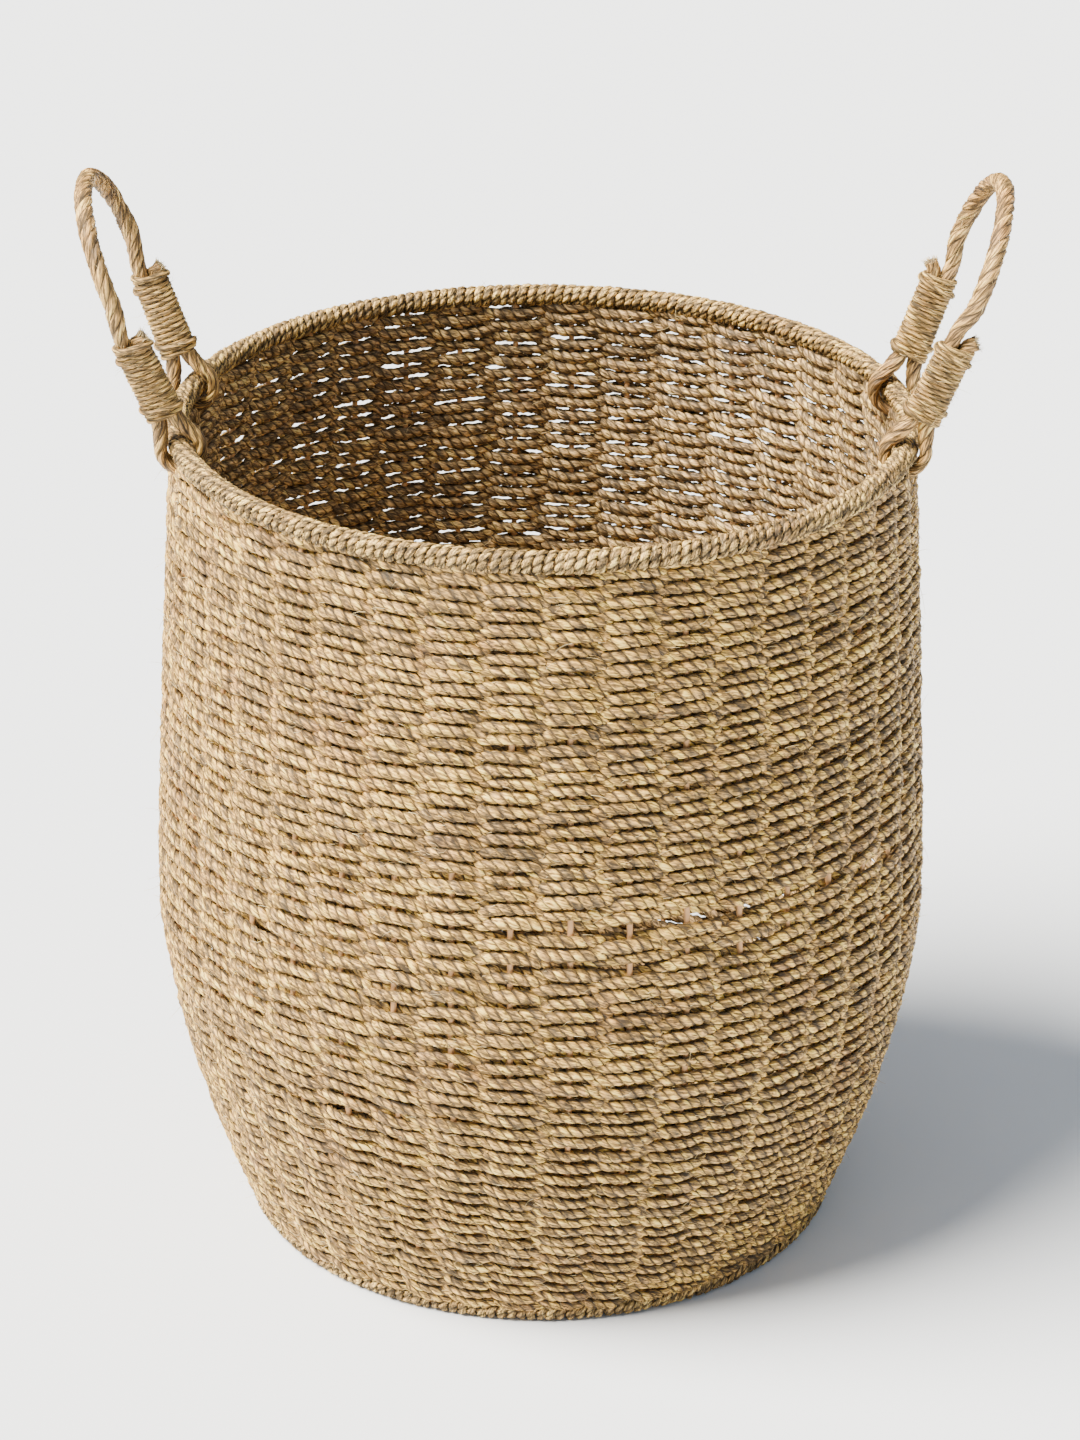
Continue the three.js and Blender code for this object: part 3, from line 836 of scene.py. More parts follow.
# The gaps that show in front, and three behind.
LOOSE_PLACES = (
    LoosePlace(257.1, 296 * MM, 3.6 * MM), LoosePlace(257.1, 284 * MM, 2.9 * MM),
    LoosePlace(265.7, 269 * MM, 4.9 * MM), LoosePlace(265.7, 249 * MM, 5.2 * MM),
    LoosePlace(265.7, 239 * MM, 4.5 * MM), LoosePlace(265.7, 229 * MM, 3.2 * MM),
    LoosePlace(274.3, 269 * MM, 6.1 * MM, 6.0), LoosePlace(274.3, 249 * MM, 2.9 * MM),
    LoosePlace(282.9, 268 * MM, 7.0 * MM), LoosePlace(282.9, 247 * MM, 6.5 * MM),
    LoosePlace(291.4, 273 * MM, 8.6 * MM, 5.5), LoosePlace(291.4, 250 * MM, 3.2 * MM),
    LoosePlace(300.0, 272 * MM, 4.5 * MM), LoosePlace(302.0, 251 * MM, 6.1 * MM),
    LoosePlace(308.6, 270 * MM, 4.1 * MM), LoosePlace(317.1, 268 * MM, 5.2 * MM),
    LoosePlace(330.0, 262 * MM, 5.7 * MM), LoosePlace(248.6, 234 * MM, 4.1 * MM),
    LoosePlace(248.6, 221 * MM, 3.2 * MM), LoosePlace(225.7, 236 * MM, 5.2 * MM),
    LoosePlace(240.0, 145 * MM, 2.9 * MM), LoosePlace(248.6, 150 * MM, 2.9 * MM),
    LoosePlace(265.7, 381 * MM, 3.2 * MM), LoosePlace(274.3, 381 * MM, 3.2 * MM),
    LoosePlace(291.4, 374 * MM, 2.9 * MM), LoosePlace(75.0, 262 * MM, 4.9 * MM),
    LoosePlace(95.0, 300 * MM, 4.1 * MM), LoosePlace(160.0, 255 * MM, 4.5 * MM),
)


@dataclass
class TwinedWall:
    """Two ropes twined round the stakes in one long climb from the foot to the rim."""

    outline: WallOutline
    stakes: StakeRing
    finishes: Finishes
    rope_radius: float = 3.03 * MM
    steps_per_gap: int = 16
    first_height: float = 12.5 * MM
    last_height: float = 473.3 * MM
    pitch_shares: tuple[float, ...] = (0.0, 0.15, 0.26, 0.37, 0.48, 0.57, 0.67, 0.81, 1.0)
    pitches: tuple[float, ...] = (
        7.8 * MM, 8.0 * MM, 8.8 * MM, 8.7 * MM, 9.2 * MM, 9.4 * MM, 8.1 * MM, 7.8 * MM, 7.7 * MM)
    profile_steps: int = 4000
    level_rows: float = 9.0
    step_up_turns: float = 0.1
    loose_rows: float = 2.5
    eye_depth: float = 9.5 * MM
    eye_reach: float = 60 * MM
    eye_half_width: float = 9.5 * MM
    stand_off: float = 0.6 * MM
    side_step: float = 2.75 * MM
    cross_step: float = 1.95 * MM
    hang: float = 1.15 * MM
    raised: float = 1.45 * MM
    apart_from: float = 100 * MM
    apart_above: float = 210 * MM
    apart_low: float = 0.4
    linger: float = 0.1
    lateness: Wobble = Wobble(0.27, 0.8)
    row_wobble: Wobble = Wobble(0.3 * MM, 1.6)
    apart_wobble: Wobble = Wobble(6 * MM, 3.0)
    out_wobble: Wobble = Wobble(0.2 * MM)
    up_wobble: Wobble = Wobble(0.3 * MM)
    thickness: Wobble = Wobble(0.1, 0.9)
    flat_out: float = 0.9
    pressed_out: float = 0.15
    flat_along: float = 1.1
    pressed_along: float = 0.06
    lumps: float = 0.08
    packed_low: float = 0.16
    packed_below: float = 190 * MM
    packed_top: float = 0.12
    packed_above: float = 32 * MM
    swelling: float = 0.55
    sway: float = 0.55 * MM
    sway_waves: int = 14
    sway_height: float = 110 * MM
    fewest_round: int = 2
    most_round: int = 14
    pieces: int = 7
    seed: int = 11
    lay: Lay = Lay(plies=2, points_per_ply=4, lay_length=12 * MM, notch=0.2)
    ropes: list[Cord] = field(default_factory=list)

    def row_path(self) -> tuple[Array, Array, Array, Array]:
        """The middle line of the pair, before it is twined.

        The row number grows by one in each turn, and the arc at a row comes from adding up one over the
        row spacing. Near the foot and the rim the rows lie level, so that they meet the rolls, and step
        up to the next row within a short stretch at +X. In between the pair climbs evenly.

        Returns:
            The place in stake gaps, the row number, the arc and the row spacing, one for each step.
        """
        low = self.outline.arc_at(self.first_height)
        high = self.outline.arc_at(self.last_height)
        arc = np.linspace(low, high, self.profile_steps)
        pitch = np.interp((arc - low) / (high - low), self.pitch_shares, self.pitches)
        rows = np.concatenate([[0.0], np.cumsum(np.diff(arc) * 2.0 / (pitch[1:] + pitch[:-1]))])
        turns = int(round(rows[-1])) + 1
        rows = rows * (turns - 1) / rows[-1] + 0.5
        place = np.arange(turns * self.stakes.count * self.steps_per_gap + 1) / self.steps_per_gap
        row = place / self.stakes.count
        whole = np.floor(row + 0.5)
        within = row + 0.5 - whole
        level = whole - 0.5 + smooth((within - 0.5) / self.step_up_turns + 0.5)
        from_end = np.minimum(row, turns - row)
        weight = 1.0 - smooth(from_end / self.level_rows)
        climbed = row + weight * (level - row)
        below = np.minimum(climbed - rows[0], 0.0) * self.pitches[0]
        above = np.maximum(climbed - rows[-1], 0.0) * self.pitches[-1]
        spacing = np.interp(climbed, rows, pitch)
        return place, row, np.interp(climbed, rows, arc) + below + above, spacing

    def loosened(self, row: Array, azimuth: Array, arc: Array) -> Array:
        """How far the rows have slipped up or down the stakes where gaps have opened.

        Each gap lifts the rows above it by half its opening and lowers those below. The shift fades
        over a few rows, and to both sides as a bell of the angle from its stake.

        Args:
            row: Row number of each step.
            azimuth: Its angle, growing with every turn.
            arc: Its place up the outline.

        Returns:
            The shift along the outline, upward.
        """
        shift = np.zeros_like(row)
        around = azimuth % FULL_TURN
        for loose in LOOSE_PLACES:
            angle = math.radians(loose.azimuth_deg)
            passes = np.arange(int(row[-1])) + self.stakes.place_of(angle) / self.stakes.count
            arcs = np.interp(passes, row, arc)
            middles = (arcs[1:] + arcs[:-1]) / 2
            nearest = int(np.argmin(np.abs(middles - self.outline.arc_at(loose.height))))
            off = (around - angle + HALF_TURN) % FULL_TURN - HALF_TURN
            bell = np.exp(-((off / math.radians(loose.spread_deg)) ** 2))
            away = row - passes[nearest] - 0.5
            shift += 0.5 * loose.opening * bell * np.sign(away) * np.exp(-np.abs(away) / self.loose_rows)
        return shift

    def pressed_by_eyes(self, arc: Array, azimuth: Array, eyes: tuple[float, ...]) -> Array:
        """How far the top rows are pushed down where a handle's rope passes under the rim.

        The depth grows evenly over the last reach below the rim, and fades to both sides of an eye as a
        bell of the distance round the rim.

        Args:
            arc: Place up the outline.
            azimuth: Angle round the basket.
            eyes: Angles of the four eyes.

        Returns:
            The shift along the outline, negative.
        """
        top = self.outline.arc_at(self.last_height)
        share = np.clip((arc - (top - self.eye_reach)) / self.eye_reach, 0.0, 1.0)
        shift = np.zeros_like(arc)
        radius = self.outline.top_radius
        for eye in eyes:
            off = (azimuth - eye + HALF_TURN) % FULL_TURN - HALF_TURN
            shift -= self.eye_depth * share * np.exp(-((off * radius / self.eye_half_width) ** 2))
        return shift

    def swayed(self, arc: Array, azimuth: Array, rng: np.random.Generator) -> Array:
        """Slow waves that neighbouring rows share, as a sum of cosines of angle and height.

        Args:
            arc: Place up the outline.
            azimuth: Angle round the basket.
            rng: The seeded source of the waves.

        Returns:
            The shift along the outline.
        """
        shift = np.zeros_like(arc)
        for _ in range(self.sway_waves):
            waves_round = rng.integers(self.fewest_round, self.most_round + 1)
            tilt = rng.normal(0.0, FULL_TURN / self.sway_height)
            size = self.sway * rng.normal()
            start = rng.uniform(0.0, FULL_TURN)
            shift += size * np.cos(waves_round * azimuth + tilt * arc + start)
        return shift / math.sqrt(self.sway_waves / 2.0)

    def twine(self, eyes: tuple[float, ...]) -> None:
        """Works out both ropes.

        With u the place in stake gaps, the turn is t = pi u - linger sin(2 pi u), which lingers at each
        stake and hurries between two. The second rope is half a turn ahead, and the pair runs a little
        early or late. A rope stands off the wall's middle by stand_off + side_step cos t.

        A share called apart grows from apart_low near the foot to one. Off its row's middle a rope lies
        by a quarter of the spacing times apart, one rope above and the other below, so that high in the
        wall the strokes are level and shift by half a row from stake to stake. Low in the wall the ropes
        partly cross: each also lies off by -(cross_step sin t + hang cos t) times one minus apart. The
        outer strokes are raised by raised cos t times apart.

        A rope is pressed flat against each stake, and squeezed low where it passes the other. Where the
        rows lie further apart the ropes have swollen a little, and under the rim and low at the back
        they are packed tight.

        Args:
            eyes: Angles of the four handle eyes, where the top rows are pushed down.
        """
        rng = np.random.default_rng(self.seed)
        place, row, arc, spacing = self.row_path()
        azimuth = self.stakes.azimuth(place)
        shift = self.loosened(row, azimuth, arc) + self.pressed_by_eyes(arc, azimuth, eyes)
        shift += self.swayed(arc, azimuth, rng) + self.row_wobble.along(rng, place)
        late = self.lateness.along(rng, place)
        swollen = (spacing / self.pitches[-1]) ** self.swelling
        low = smooth(1.0 - (arc - arc[0]) / self.packed_below) * smooth(0.5 + np.sin(azimuth))
        top = smooth(1.0 - (arc[-1] - arc) / self.packed_above)
        swollen = swollen * (1.0 + self.packed_low * low + self.packed_top * top)
        height = arc - arc[0] + self.apart_wobble.along(rng, place)
        apart = smooth((height - self.apart_from) / (self.apart_above - self.apart_from))
        apart = self.apart_low + (1.0 - self.apart_low) * apart
        hang = self.hang * (1.0 - apart) - self.raised * apart
        for number in (0, 1):
            turn = HALF_TURN * (place + number) - self.linger * np.sin(FULL_TURN * place) + late
            cos, sin = np.cos(turn), np.sin(turn)
            out = self.stand_off + self.side_step * cos + self.out_wobble.along(rng, place)
            upward = (0.25 - 0.5 * number) * spacing * apart - self.cross_step * (1.0 - apart) * sin
            upward += self.up_wobble.along(rng, place) - hang * cos
            line, normal = self.outline.place(arc + shift + upward, azimuth, out)
            thick = (1.0 + self.thickness.along(rng, place)) * swollen
            pressed = cos * cos
            self.ropes.append(Cord(
                line=line, outward=normal, radius=self.rope_radius * thick, lay=self.lay,
                flatten_out=(self.flat_out - self.pressed_out * pressed) / swollen,
                flatten_along=self.flat_along + self.pressed_along * pressed,
                first_turn=rng.uniform(0.0, FULL_TURN), lumps=self.lumps, seed=self.seed + number,
                shown_side=cos))

    def build(self, eyes: tuple[float, ...]) -> None:
        """Makes the wall, cut into equal stretches along the ropes so that no piece is too heavy.

        Args:
            eyes: Angles of the four handle eyes.
        """
        self.twine(eyes)
        rings = len(self.ropes[0].run)
        cuts = np.linspace(0, rings - 1, self.pieces + 1).astype(int)
        for number in range(self.pieces):
            mesh = Mesh()
            for rope in self.ropes:
                rope.add_to(mesh, cuts[number], cuts[number + 1])
            piece = mesh.build(f"wall_rows_{number + 1}", self.finishes.made[Slot.WEAVE])
            settle(piece, "basket", ["wall_weft_outer", "wall_weft_inner"])


# Rolls


@dataclass
class WoundRoll:
    """A hoop wound closely with two-ply cord, as the rim and the foot are."""

    name: str
    node: str
    finishes: Finishes
    ring_radius: float
    height: float
    roll_radius: float
    turns: int
    cord_radius: float
    seed: int
    steps_per_turn: int = 24
    slant: float = 1.3 * MM
    thinned: float = 0.68
    widened: float = 1.04
    lumps: float = 0.08
    reach_wobble: Wobble = Wobble(0.16 * MM, 1 / 1.3)
    spacing_wobble: Wobble = Wobble(0.3 * MM)
    thickness: Wobble = Wobble(0.05, 0.5)
    lay: Lay = Lay(plies=2, points_per_ply=4, lay_length=9 * MM)
    lowest: float | None = None
    cord: Cord = field(init=False)

    def build(self) -> None:
        """Winds the cord round the hoop's circle.

        The angle round the roll grows by a full turn for each winding while the place round the hoop
        moves on by one spacing, and a cosine of the winding angle slants each turn a little. A roll with
        a lowest height is pressed flat on the floor there.
        """
        rng = np.random.default_rng(self.seed)
        wind = np.arange(self.turns * self.steps_per_turn + 1) / self.steps_per_turn
        angle = FULL_TURN * wind - QUARTER_TURN
        reach = self.roll_radius - self.cord_radius * self.thinned
        reach = reach + self.reach_wobble.along(rng, wind)
        along = wind / self.turns * FULL_TURN
        shifted = self.spacing_wobble.along(rng, wind) - self.slant * np.cos(angle)
        along = along + shifted / self.ring_radius
        radius = self.ring_radius + reach * np.cos(angle)
        height = self.height + reach * np.sin(angle)
        if self.lowest is not None:
            height = np.maximum(height, self.lowest + self.cord_radius * self.thinned)
        line = np.stack([radius * np.cos(along), radius * np.sin(along), height], axis=1)
        outward = np.stack(
            [np.cos(angle) * np.cos(along), np.cos(angle) * np.sin(along), np.sin(angle)], axis=1)
        thick = 1.0 + self.thickness.along(rng, wind)
        self.cord = Cord(
            line=line, outward=outward, radius=self.cord_radius * thick, lay=self.lay,
            flatten_out=self.thinned, flatten_along=self.widened, lumps=self.lumps, seed=self.seed,
            shown_side=1.0)
        mesh = Mesh()
        self.cord.add_to(mesh)
        piece = mesh.build(self.name, self.finishes.made[Slot.PALE_CORD])
        settle(piece, "basket", [self.node])


# Stakes and base


@dataclass
class Rods:
    """The stakes in the wall and the sticks in the base, as round peeled rods."""

    outline: WallOutline
    stakes: StakeRing
    finishes: Finishes
    radius: float = 1.7 * MM
    foot_height: float = 10.5 * MM
    head_height: float = 475.5 * MM
    rod_steps: int = 48
    bend: Wobble = Wobble(0.12 * MM)
    bends: float = 9.0
    base_reach: float = 160.8 * MM
    cross_half: float = 9 * MM
    settle_length: float = 6.5 * MM
    crossing_gap: float = 0.1 * MM
    stick_spacing: float = 4.1 * MM
    sticks_each_way: int = 3
    level_steps: int = 24
    crossing_steps: int = 7
    seed: int = 5
    lay: Lay = Lay(plies=1, points_per_ply=10, lay_length=1.0, notch=0.0)

    def rod(self, name: str, line: Array, outward: Array, node: str) -> None:
        """Makes one rod along a line and puts it in place of its node.

        Args:
            name: The piece's name.
            line: Its middle line.
            outward: A direction across it, one for each point.
            node: The CAD node it replaces.
        """
        mesh = Mesh()
        Cord(line=line, outward=outward, radius=np.full(len(line), self.radius), lay=self.lay).add_to(mesh)
        settle(mesh.build(name, self.finishes.made[Slot.CANE]), "basket", [node])

    def build(self) -> None:
        """Makes the forty stakes and the six base sticks.

        A stake follows the wall's middle surface, bent a little sideways. A base stick lies level, fanned
        out by a share of a turn, and rises or dips by its own radius where it crosses the others.
        """
        rng = np.random.default_rng(self.seed)
        low, high = self.outline.arc_at(self.foot_height), self.outline.arc_at(self.head_height)
        arc = np.linspace(low, high, self.rod_steps)
        angles = self.stakes.azimuth(np.arange(self.stakes.count, dtype=float))
        for number, angle in enumerate(angles):
            bend = self.bend.along(rng, np.linspace(0.0, self.bends, len(arc)))
            azimuth = angle + bend / self.outline.belly_radius
            line, normal = self.outline.place(arc, azimuth)
            self.rod(f"stake_rod_{number + 1:02d}", line, normal, f"stake_{number + 1:02d}")
        middle = (self.sticks_each_way - 1) / 2
        rise = self.radius + self.crossing_gap
        for way, direction, lift in (("x", 0.0, rise), ("y", QUARTER_TURN, -rise)):
            for number in range(self.sticks_each_way):
                line = self.stick_line(number - middle, lift, direction)
                up = np.tile([0.0, 0.0, 1.0], (len(line), 1))
                self.rod(f"base_rod_{way}{number + 1}", line, up, f"base_stick_{way}{number + 1}")

    def stick_line(self, place: float, lift: float, direction: float) -> Array:
        """The middle line of one base stick.

        From each end it runs straight in to where the bundle settles, at the base's height, and then
        eases up or down to where it crosses the other bundle. The far half mirrors the near one.

        Args:
            place: -1, 0 or 1, its place in the bundle.
            lift: How far it rises where it crosses the others.
            direction: Angle of the bundle.

        Returns:
            Rows of (x, y, z).
        """
        fan = place * HALF_TURN / (2 * self.sticks_each_way)
        crossing = np.array([self.cross_half, place * self.stick_spacing, BASE_HEIGHT + lift])
        end = np.array([self.base_reach * math.cos(fan), self.base_reach * math.sin(fan), BASE_HEIGHT])
        flat = (end - crossing) * [1.0, 1.0, 0.0]
        settled = crossing * [1.0, 1.0, 0.0] + flat / np.linalg.norm(flat) * self.settle_length
        settled[2] = BASE_HEIGHT
        level = np.linspace(end, settled, self.level_steps)
        share = smooth(np.linspace(0.0, 1.0, self.crossing_steps))[1:, None]
        half = np.concatenate([level, settled * (1.0 - share) + crossing * share])
        line = np.concatenate([half, (half * [-1.0, 1.0, 1.0])[::-1]])
        cos, sin = math.cos(direction), math.sin(direction)
        return line @ np.array([[cos, sin, 0.0], [-sin, cos, 0.0], [0.0, 0.0, 1.0]])


@dataclass
class TwinedBase:
    """The flat base: the same pair of ropes twined outward round the sticks."""

    finishes: Finishes
    rope_radius: float = 2.85 * MM
    height: float = BASE_HEIGHT
    inner: float = 15.5 * MM
    outer: float = 159.0 * MM
    pitch: float = 8.3 * MM
    level_turns: float = 0.6
    rays: int = 12
    twists_between_rays: int = 3
    change_radius: float = 60 * MM
    step: float = 2.1 * MM
    side_step: float = 3.55 * MM
    cross_step: float = 2.05 * MM
    profile_steps: int = 60000
    wobble: Wobble = Wobble(0.25 * MM)
    thickness: Wobble = Wobble(0.05)
    flat_out: float = 0.9
    pressed_out: float = 0.15
    flat_along: float = 0.96
    pressed_along: float = 0.12
    lumps: float = 0.08
    seed: int = 23
    lay: Lay = Lay(plies=2, points_per_ply=4, lay_length=12 * MM)

    def build(self) -> None:
        """Twines the spiral.

        The radius grows by one spacing a turn, and stays the same over the last part of a turn. The
        pair makes one half turn from ray to ray in the middle, and three further out, where the rays
        stand far apart. A rope stands above or below the middle by side_step cos t, and lies off its row
        by cross_step sin t.
        """
        rng = np.random.default_rng(self.seed)
        turns = (self.outer - self.inner) / self.pitch + self.level_turns
        angle = np.linspace(0.0, turns * FULL_TURN, self.profile_steps)
        radius = np.minimum(self.inner + self.pitch * angle / FULL_TURN, self.outer)
        length = np.concatenate([[0.0], np.cumsum(np.diff(angle) * radius[1:])])
        even = np.linspace(0.0, length[-1], int(length[-1] / self.step))
        angle = np.interp(even, length, angle)
        radius = np.minimum(self.inner + self.pitch * angle / FULL_TURN, self.outer)
        change_turn = math.ceil((self.change_radius - self.inner) / self.pitch) * FULL_TURN
        near = np.minimum(angle, change_turn)
        far = np.maximum(angle - change_turn, 0.0)
        place = (near + far * self.twists_between_rays) * self.rays / FULL_TURN
        mesh = Mesh()
        for number in (0, 1):
            turn = HALF_TURN * (place + number)
            out = self.side_step * np.cos(turn)
            off = self.cross_step * np.sin(turn) + self.wobble.along(rng, place)
            at = radius + off
            line = np.stack([at * np.cos(angle), at * np.sin(angle), self.height + out], axis=1)
            down = np.tile([0.0, 0.0, -1.0], (len(line), 1))
            pressed = np.cos(turn) ** 2
            Cord(
                line=line, outward=down, radius=self.rope_radius * (1.0 + self.thickness.along(rng, place)),
                lay=self.lay, flatten_out=self.flat_out - self.pressed_out * pressed,
                flatten_along=self.flat_along + self.pressed_along * pressed, lumps=self.lumps,
                seed=self.seed + number).add_to(mesh)
        piece = mesh.build("base_weave", self.finishes.made[Slot.WEAVE])
        settle(piece, "basket", ["base_weft_lower", "base_weft_upper"])


# Handles


class Side(Enum):
    """Whether a leg's rope stands outside or inside its own tail."""

    OUTSIDE = 1
    INSIDE = -1


@dataclass
class RopeHandle:
    """One rope handle: a loop with an eye round the rim at each end, and two bindings.

    It is drawn upright, x outward across it, y along the rim and z up from the middle of the rim, then
    leaned outward about the line through its eyes. It stands at +X, or at -X where it is turned.
    """

    name: str
    turned: bool
    front_side: Side
    back_side: Side
    finishes: Finishes
    stakes: StakeRing
    rim_radius: float = RIM_RADIUS
    rim_height: float = RIM_HEIGHT
    eye_gaps: float = 1.5
    height: float = 144.5 * MM
    width: float = 118 * MM
    arch_rise: float = 49.5 * MM
    lean_deg: float = 21.0
    rope_radius: float = 4.5 * MM
    bound_radius: float = 3.9 * MM
    tip_radius: float = 3.7 * MM
    tail_stub: float = 6.5 * MM
    tail_lean: float = 4.6 * MM
    tail_power: float = 1.5
    taper_power: float = 1.5
    strand_gap: float = 0.1 * MM
    eye_radius: float = 11.2 * MM
    eye_splay: float = 0.3
    neck_height: float = 19 * MM
    neck_softness: float = 1.2 * MM
    binding_start: float = 21.5 * MM
    binding_turns: int = 16
    binding_pitch: float = 2.95 * MM
    binding_radius: float = 1.72 * MM
    bedded: float = 0.6
    fullness: float = 1.12
    lead_turns: float = 1.25
    lead_climb: float = 9.5 * MM
    lead_rise_share: float = 0.25
    lead_rise: float = 0.95
    lead_dip_share: float = 0.15
    lead_dip: float = 1.6
    oval_power: float = 2.4
    tail_steps: int = 34
    eye_steps: int = 40
    rope_steps: int = 48
    arch_steps: int = 74
    steps_per_turn: int = 40
    rope_thickness_change: Wobble = Wobble(0.03, 14 * MM)
    cord_thickness_change: Wobble = Wobble(0.06)
    swells_per_turn: float = 2.5
    rope_lumps: float = 0.05
    cord_lumps: float = 0.06
    seed: int = 3
    rope_lay: Lay = Lay(plies=4, points_per_ply=5, lay_length=32 * MM, notch=0.13)
    cord_lay: Lay = Lay(plies=2, points_per_ply=4, lay_length=22 * MM, notch=0.22)
    cords: list[Cord] = field(default_factory=list)
    eye_angle: float = field(init=False)
    hinge_x: float = field(init=False)
    eye_spacing: float = field(init=False)
    leave_angle: float = field(init=False)
    leave_height: float = field(init=False)
    binding_top: float = field(init=False)
    tip_height: float = field(init=False)
    arch_start: float = field(init=False)

    def __post_init__(self) -> None:
        """Works out the sizes that follow from the others.

        Rope and tail leave the eye where a line from the neck touches its circle.
        """
        self.eye_angle = self.eye_gaps * self.stakes.mean_gap
        self.hinge_x = self.rim_radius * math.cos(self.eye_angle)
        self.eye_spacing = 2 * self.rim_radius * math.sin(self.eye_angle)
        self.leave_angle = QUARTER_TURN - math.acos(self.eye_radius / self.neck_height)
        self.leave_height = self.eye_radius * math.sin(self.leave_angle)
        self.binding_top = self.binding_start + self.binding_turns * self.binding_pitch
        self.tip_height = self.binding_top + self.tail_stub
        self.arch_start = self.height - self.arch_rise

    def rope_thickness(self, z: Array) -> Array:
        """Radius of the rope at a height, squeezed where it is bound."""
        bound = smooth((z - self.leave_height) / (self.binding_start - self.leave_height))
        freed = smooth((z - self.binding_top) / (self.arch_start - self.binding_top))
        return self.rope_radius - (self.rope_radius - self.bound_radius) * (bound - freed)

    def tail_thickness(self, z: Array) -> Array:
        """Radius of the tail at a height, thinning towards its tip."""
        left = np.clip((self.tip_height - z) / (self.tip_height - self.leave_height), 0.0, 1.0)
        return self.tip_radius + (self.rope_radius - self.tip_radius) * left ** self.taper_power

    def neck_spread(self, z: Array, settled: Array | float) -> Array:
        """How far the sides of the eye still stand apart: a straight slope that fades at the neck."""
        wide = self.eye_radius * math.cos(self.leave_angle) - settled
        slope = (self.neck_height - z) * wide / (self.neck_height - self.leave_height)
        return (slope + np.hypot(slope, self.neck_softness)) / 2

    def rope_offset(self, z: Array) -> Array:
        """How far the rope's middle stands from the leg's middle at a height."""
        settled = self.tail_thickness(z) + self.strand_gap / 2
        centred = 1.0 - smooth((z - self.tip_height) / (self.arch_start - self.tip_height))
        return settled * centred + self.neck_spread(z, self.tail_thickness(np.array(self.leave_height)))

    def tail_offset(self, z: Array) -> Array:
        """How far the tail's middle stands from the leg's middle at a height, leaning off at its tip."""
        free = np.clip((z - self.binding_top) / self.tail_stub, 0.0, 1.0)
        settled = self.rope_thickness(z) + self.strand_gap / 2 + self.tail_lean * free ** self.tail_power
        return settled + self.neck_spread(z, self.rope_radius)

    def leg_place(self, z: Array) -> Array:
        """Distance of a leg from the handle's middle at a height."""
        return self.eye_spacing / 2 + (self.width - self.eye_spacing) / 2 * smooth(z / self.arch_start)

    def leg(self, end: int, side: Side) -> tuple[Array, Array]:
        """The tail, the eye and the rope up to the arch.

        The tail comes down beside the rope, with its offset from the leg's middle at each height. The
        eye is the part of a circle round the rim below the height where both leave it, and the rope
        climbs with its own offset on the other side.

        Args:
            end: -1 or 1, the handle's end along y.
            side: Whether the rope is outside or inside its tail.

        Returns:
            Middle line and radius, from the tip of the tail.
        """
        z_tail = np.linspace(self.tip_height, self.leave_height, self.tail_steps)[:-1]
        turn = np.linspace(HALF_TURN - self.leave_angle, FULL_TURN + self.leave_angle, self.eye_steps)
        z_rope = np.linspace(self.leave_height, self.arch_start, self.rope_steps)[1:]
        x = np.concatenate(
            [-self.tail_offset(z_tail), self.eye_radius * np.cos(turn), self.rope_offset(z_rope)])
        z = np.concatenate([z_tail, self.eye_radius * np.sin(turn), z_rope])
        radius = np.concatenate(
            [self.tail_thickness(z_tail), np.full(len(turn), self.rope_radius), self.rope_thickness(z_rope)])
        return np.stack([side.value * x, end * self.leg_place(z), z], axis=1), radius

    def rope_path(self) -> tuple[Array, Array]:
        """The whole rope from tail to tail, over a half oval at the top.

        Returns:
            Middle line and radius, from the tip of the tail at the -y end.
        """
        first, second = self.front_side, self.back_side
        if self.turned:
            first, second = second, first
        near, near_radius = self.leg(-1, first)
        far, far_radius = self.leg(1, second)
        angle = HALF_TURN - np.linspace(0.0, HALF_TURN, self.arch_steps)[1:-1]
        y = self.width / 2 * np.cos(angle)
        z = self.arch_start + self.arch_rise * np.sin(angle)
        arch = np.stack([np.zeros_like(y), y, z], axis=1)
        radius = np.concatenate([near_radius, np.full(len(y), self.rope_radius), far_radius[::-1]])
        return np.concatenate([near, arch, far[::-1]]), radius

    def binding_path(self, end: int, side: Side) -> tuple[Array, Array]:
        """The cord wound round a leg's rope and tail, and the direction out of it.

        Each turn is an oval: x and y are the half widths times cosine and sine, both raised to two over
        the oval power with their sign kept. The cord climbs by its spacing in every turn. Before its first
        turn and after its last it crosses over the winding on a slant, one cord further out, and its end
        dips back in.

        Args:
            end: -1 or 1, the handle's end along y.
            side: Whether the rope is outside or inside its tail.

        Returns:
            Middle line and outward directions.
        """
        steps = int((self.binding_turns + 2 * self.lead_turns) * self.steps_per_turn)
        turn = np.linspace(-self.lead_turns, self.binding_turns + self.lead_turns, steps)
        early = np.maximum(-turn, 0.0) / self.lead_turns
        late = np.maximum(turn - self.binding_turns, 0.0) / self.lead_turns
        wound = np.clip(turn, 0.0, self.binding_turns)
        z = self.binding_start + wound * self.binding_pitch + self.lead_climb * (early - late)
        lead = early + late
        outer = smooth(lead / self.lead_rise_share)
        outer = outer - self.lead_dip * smooth((lead - (1.0 - self.lead_dip_share)) / self.lead_dip_share)
        standing = self.binding_radius * (self.bedded + self.lead_rise * outer)
        rope_edge = self.rope_offset(z) + self.rope_thickness(z)
        tail_edge = self.tail_offset(np.minimum(z, self.binding_top)) + self.tail_thickness(z)
        half_width = (rope_edge + tail_edge) / 2 + standing
        half_depth = self.rope_thickness(z) + standing
        cos, sin = np.cos(turn * FULL_TURN), np.sin(turn * FULL_TURN)
        power = 2.0 / self.oval_power
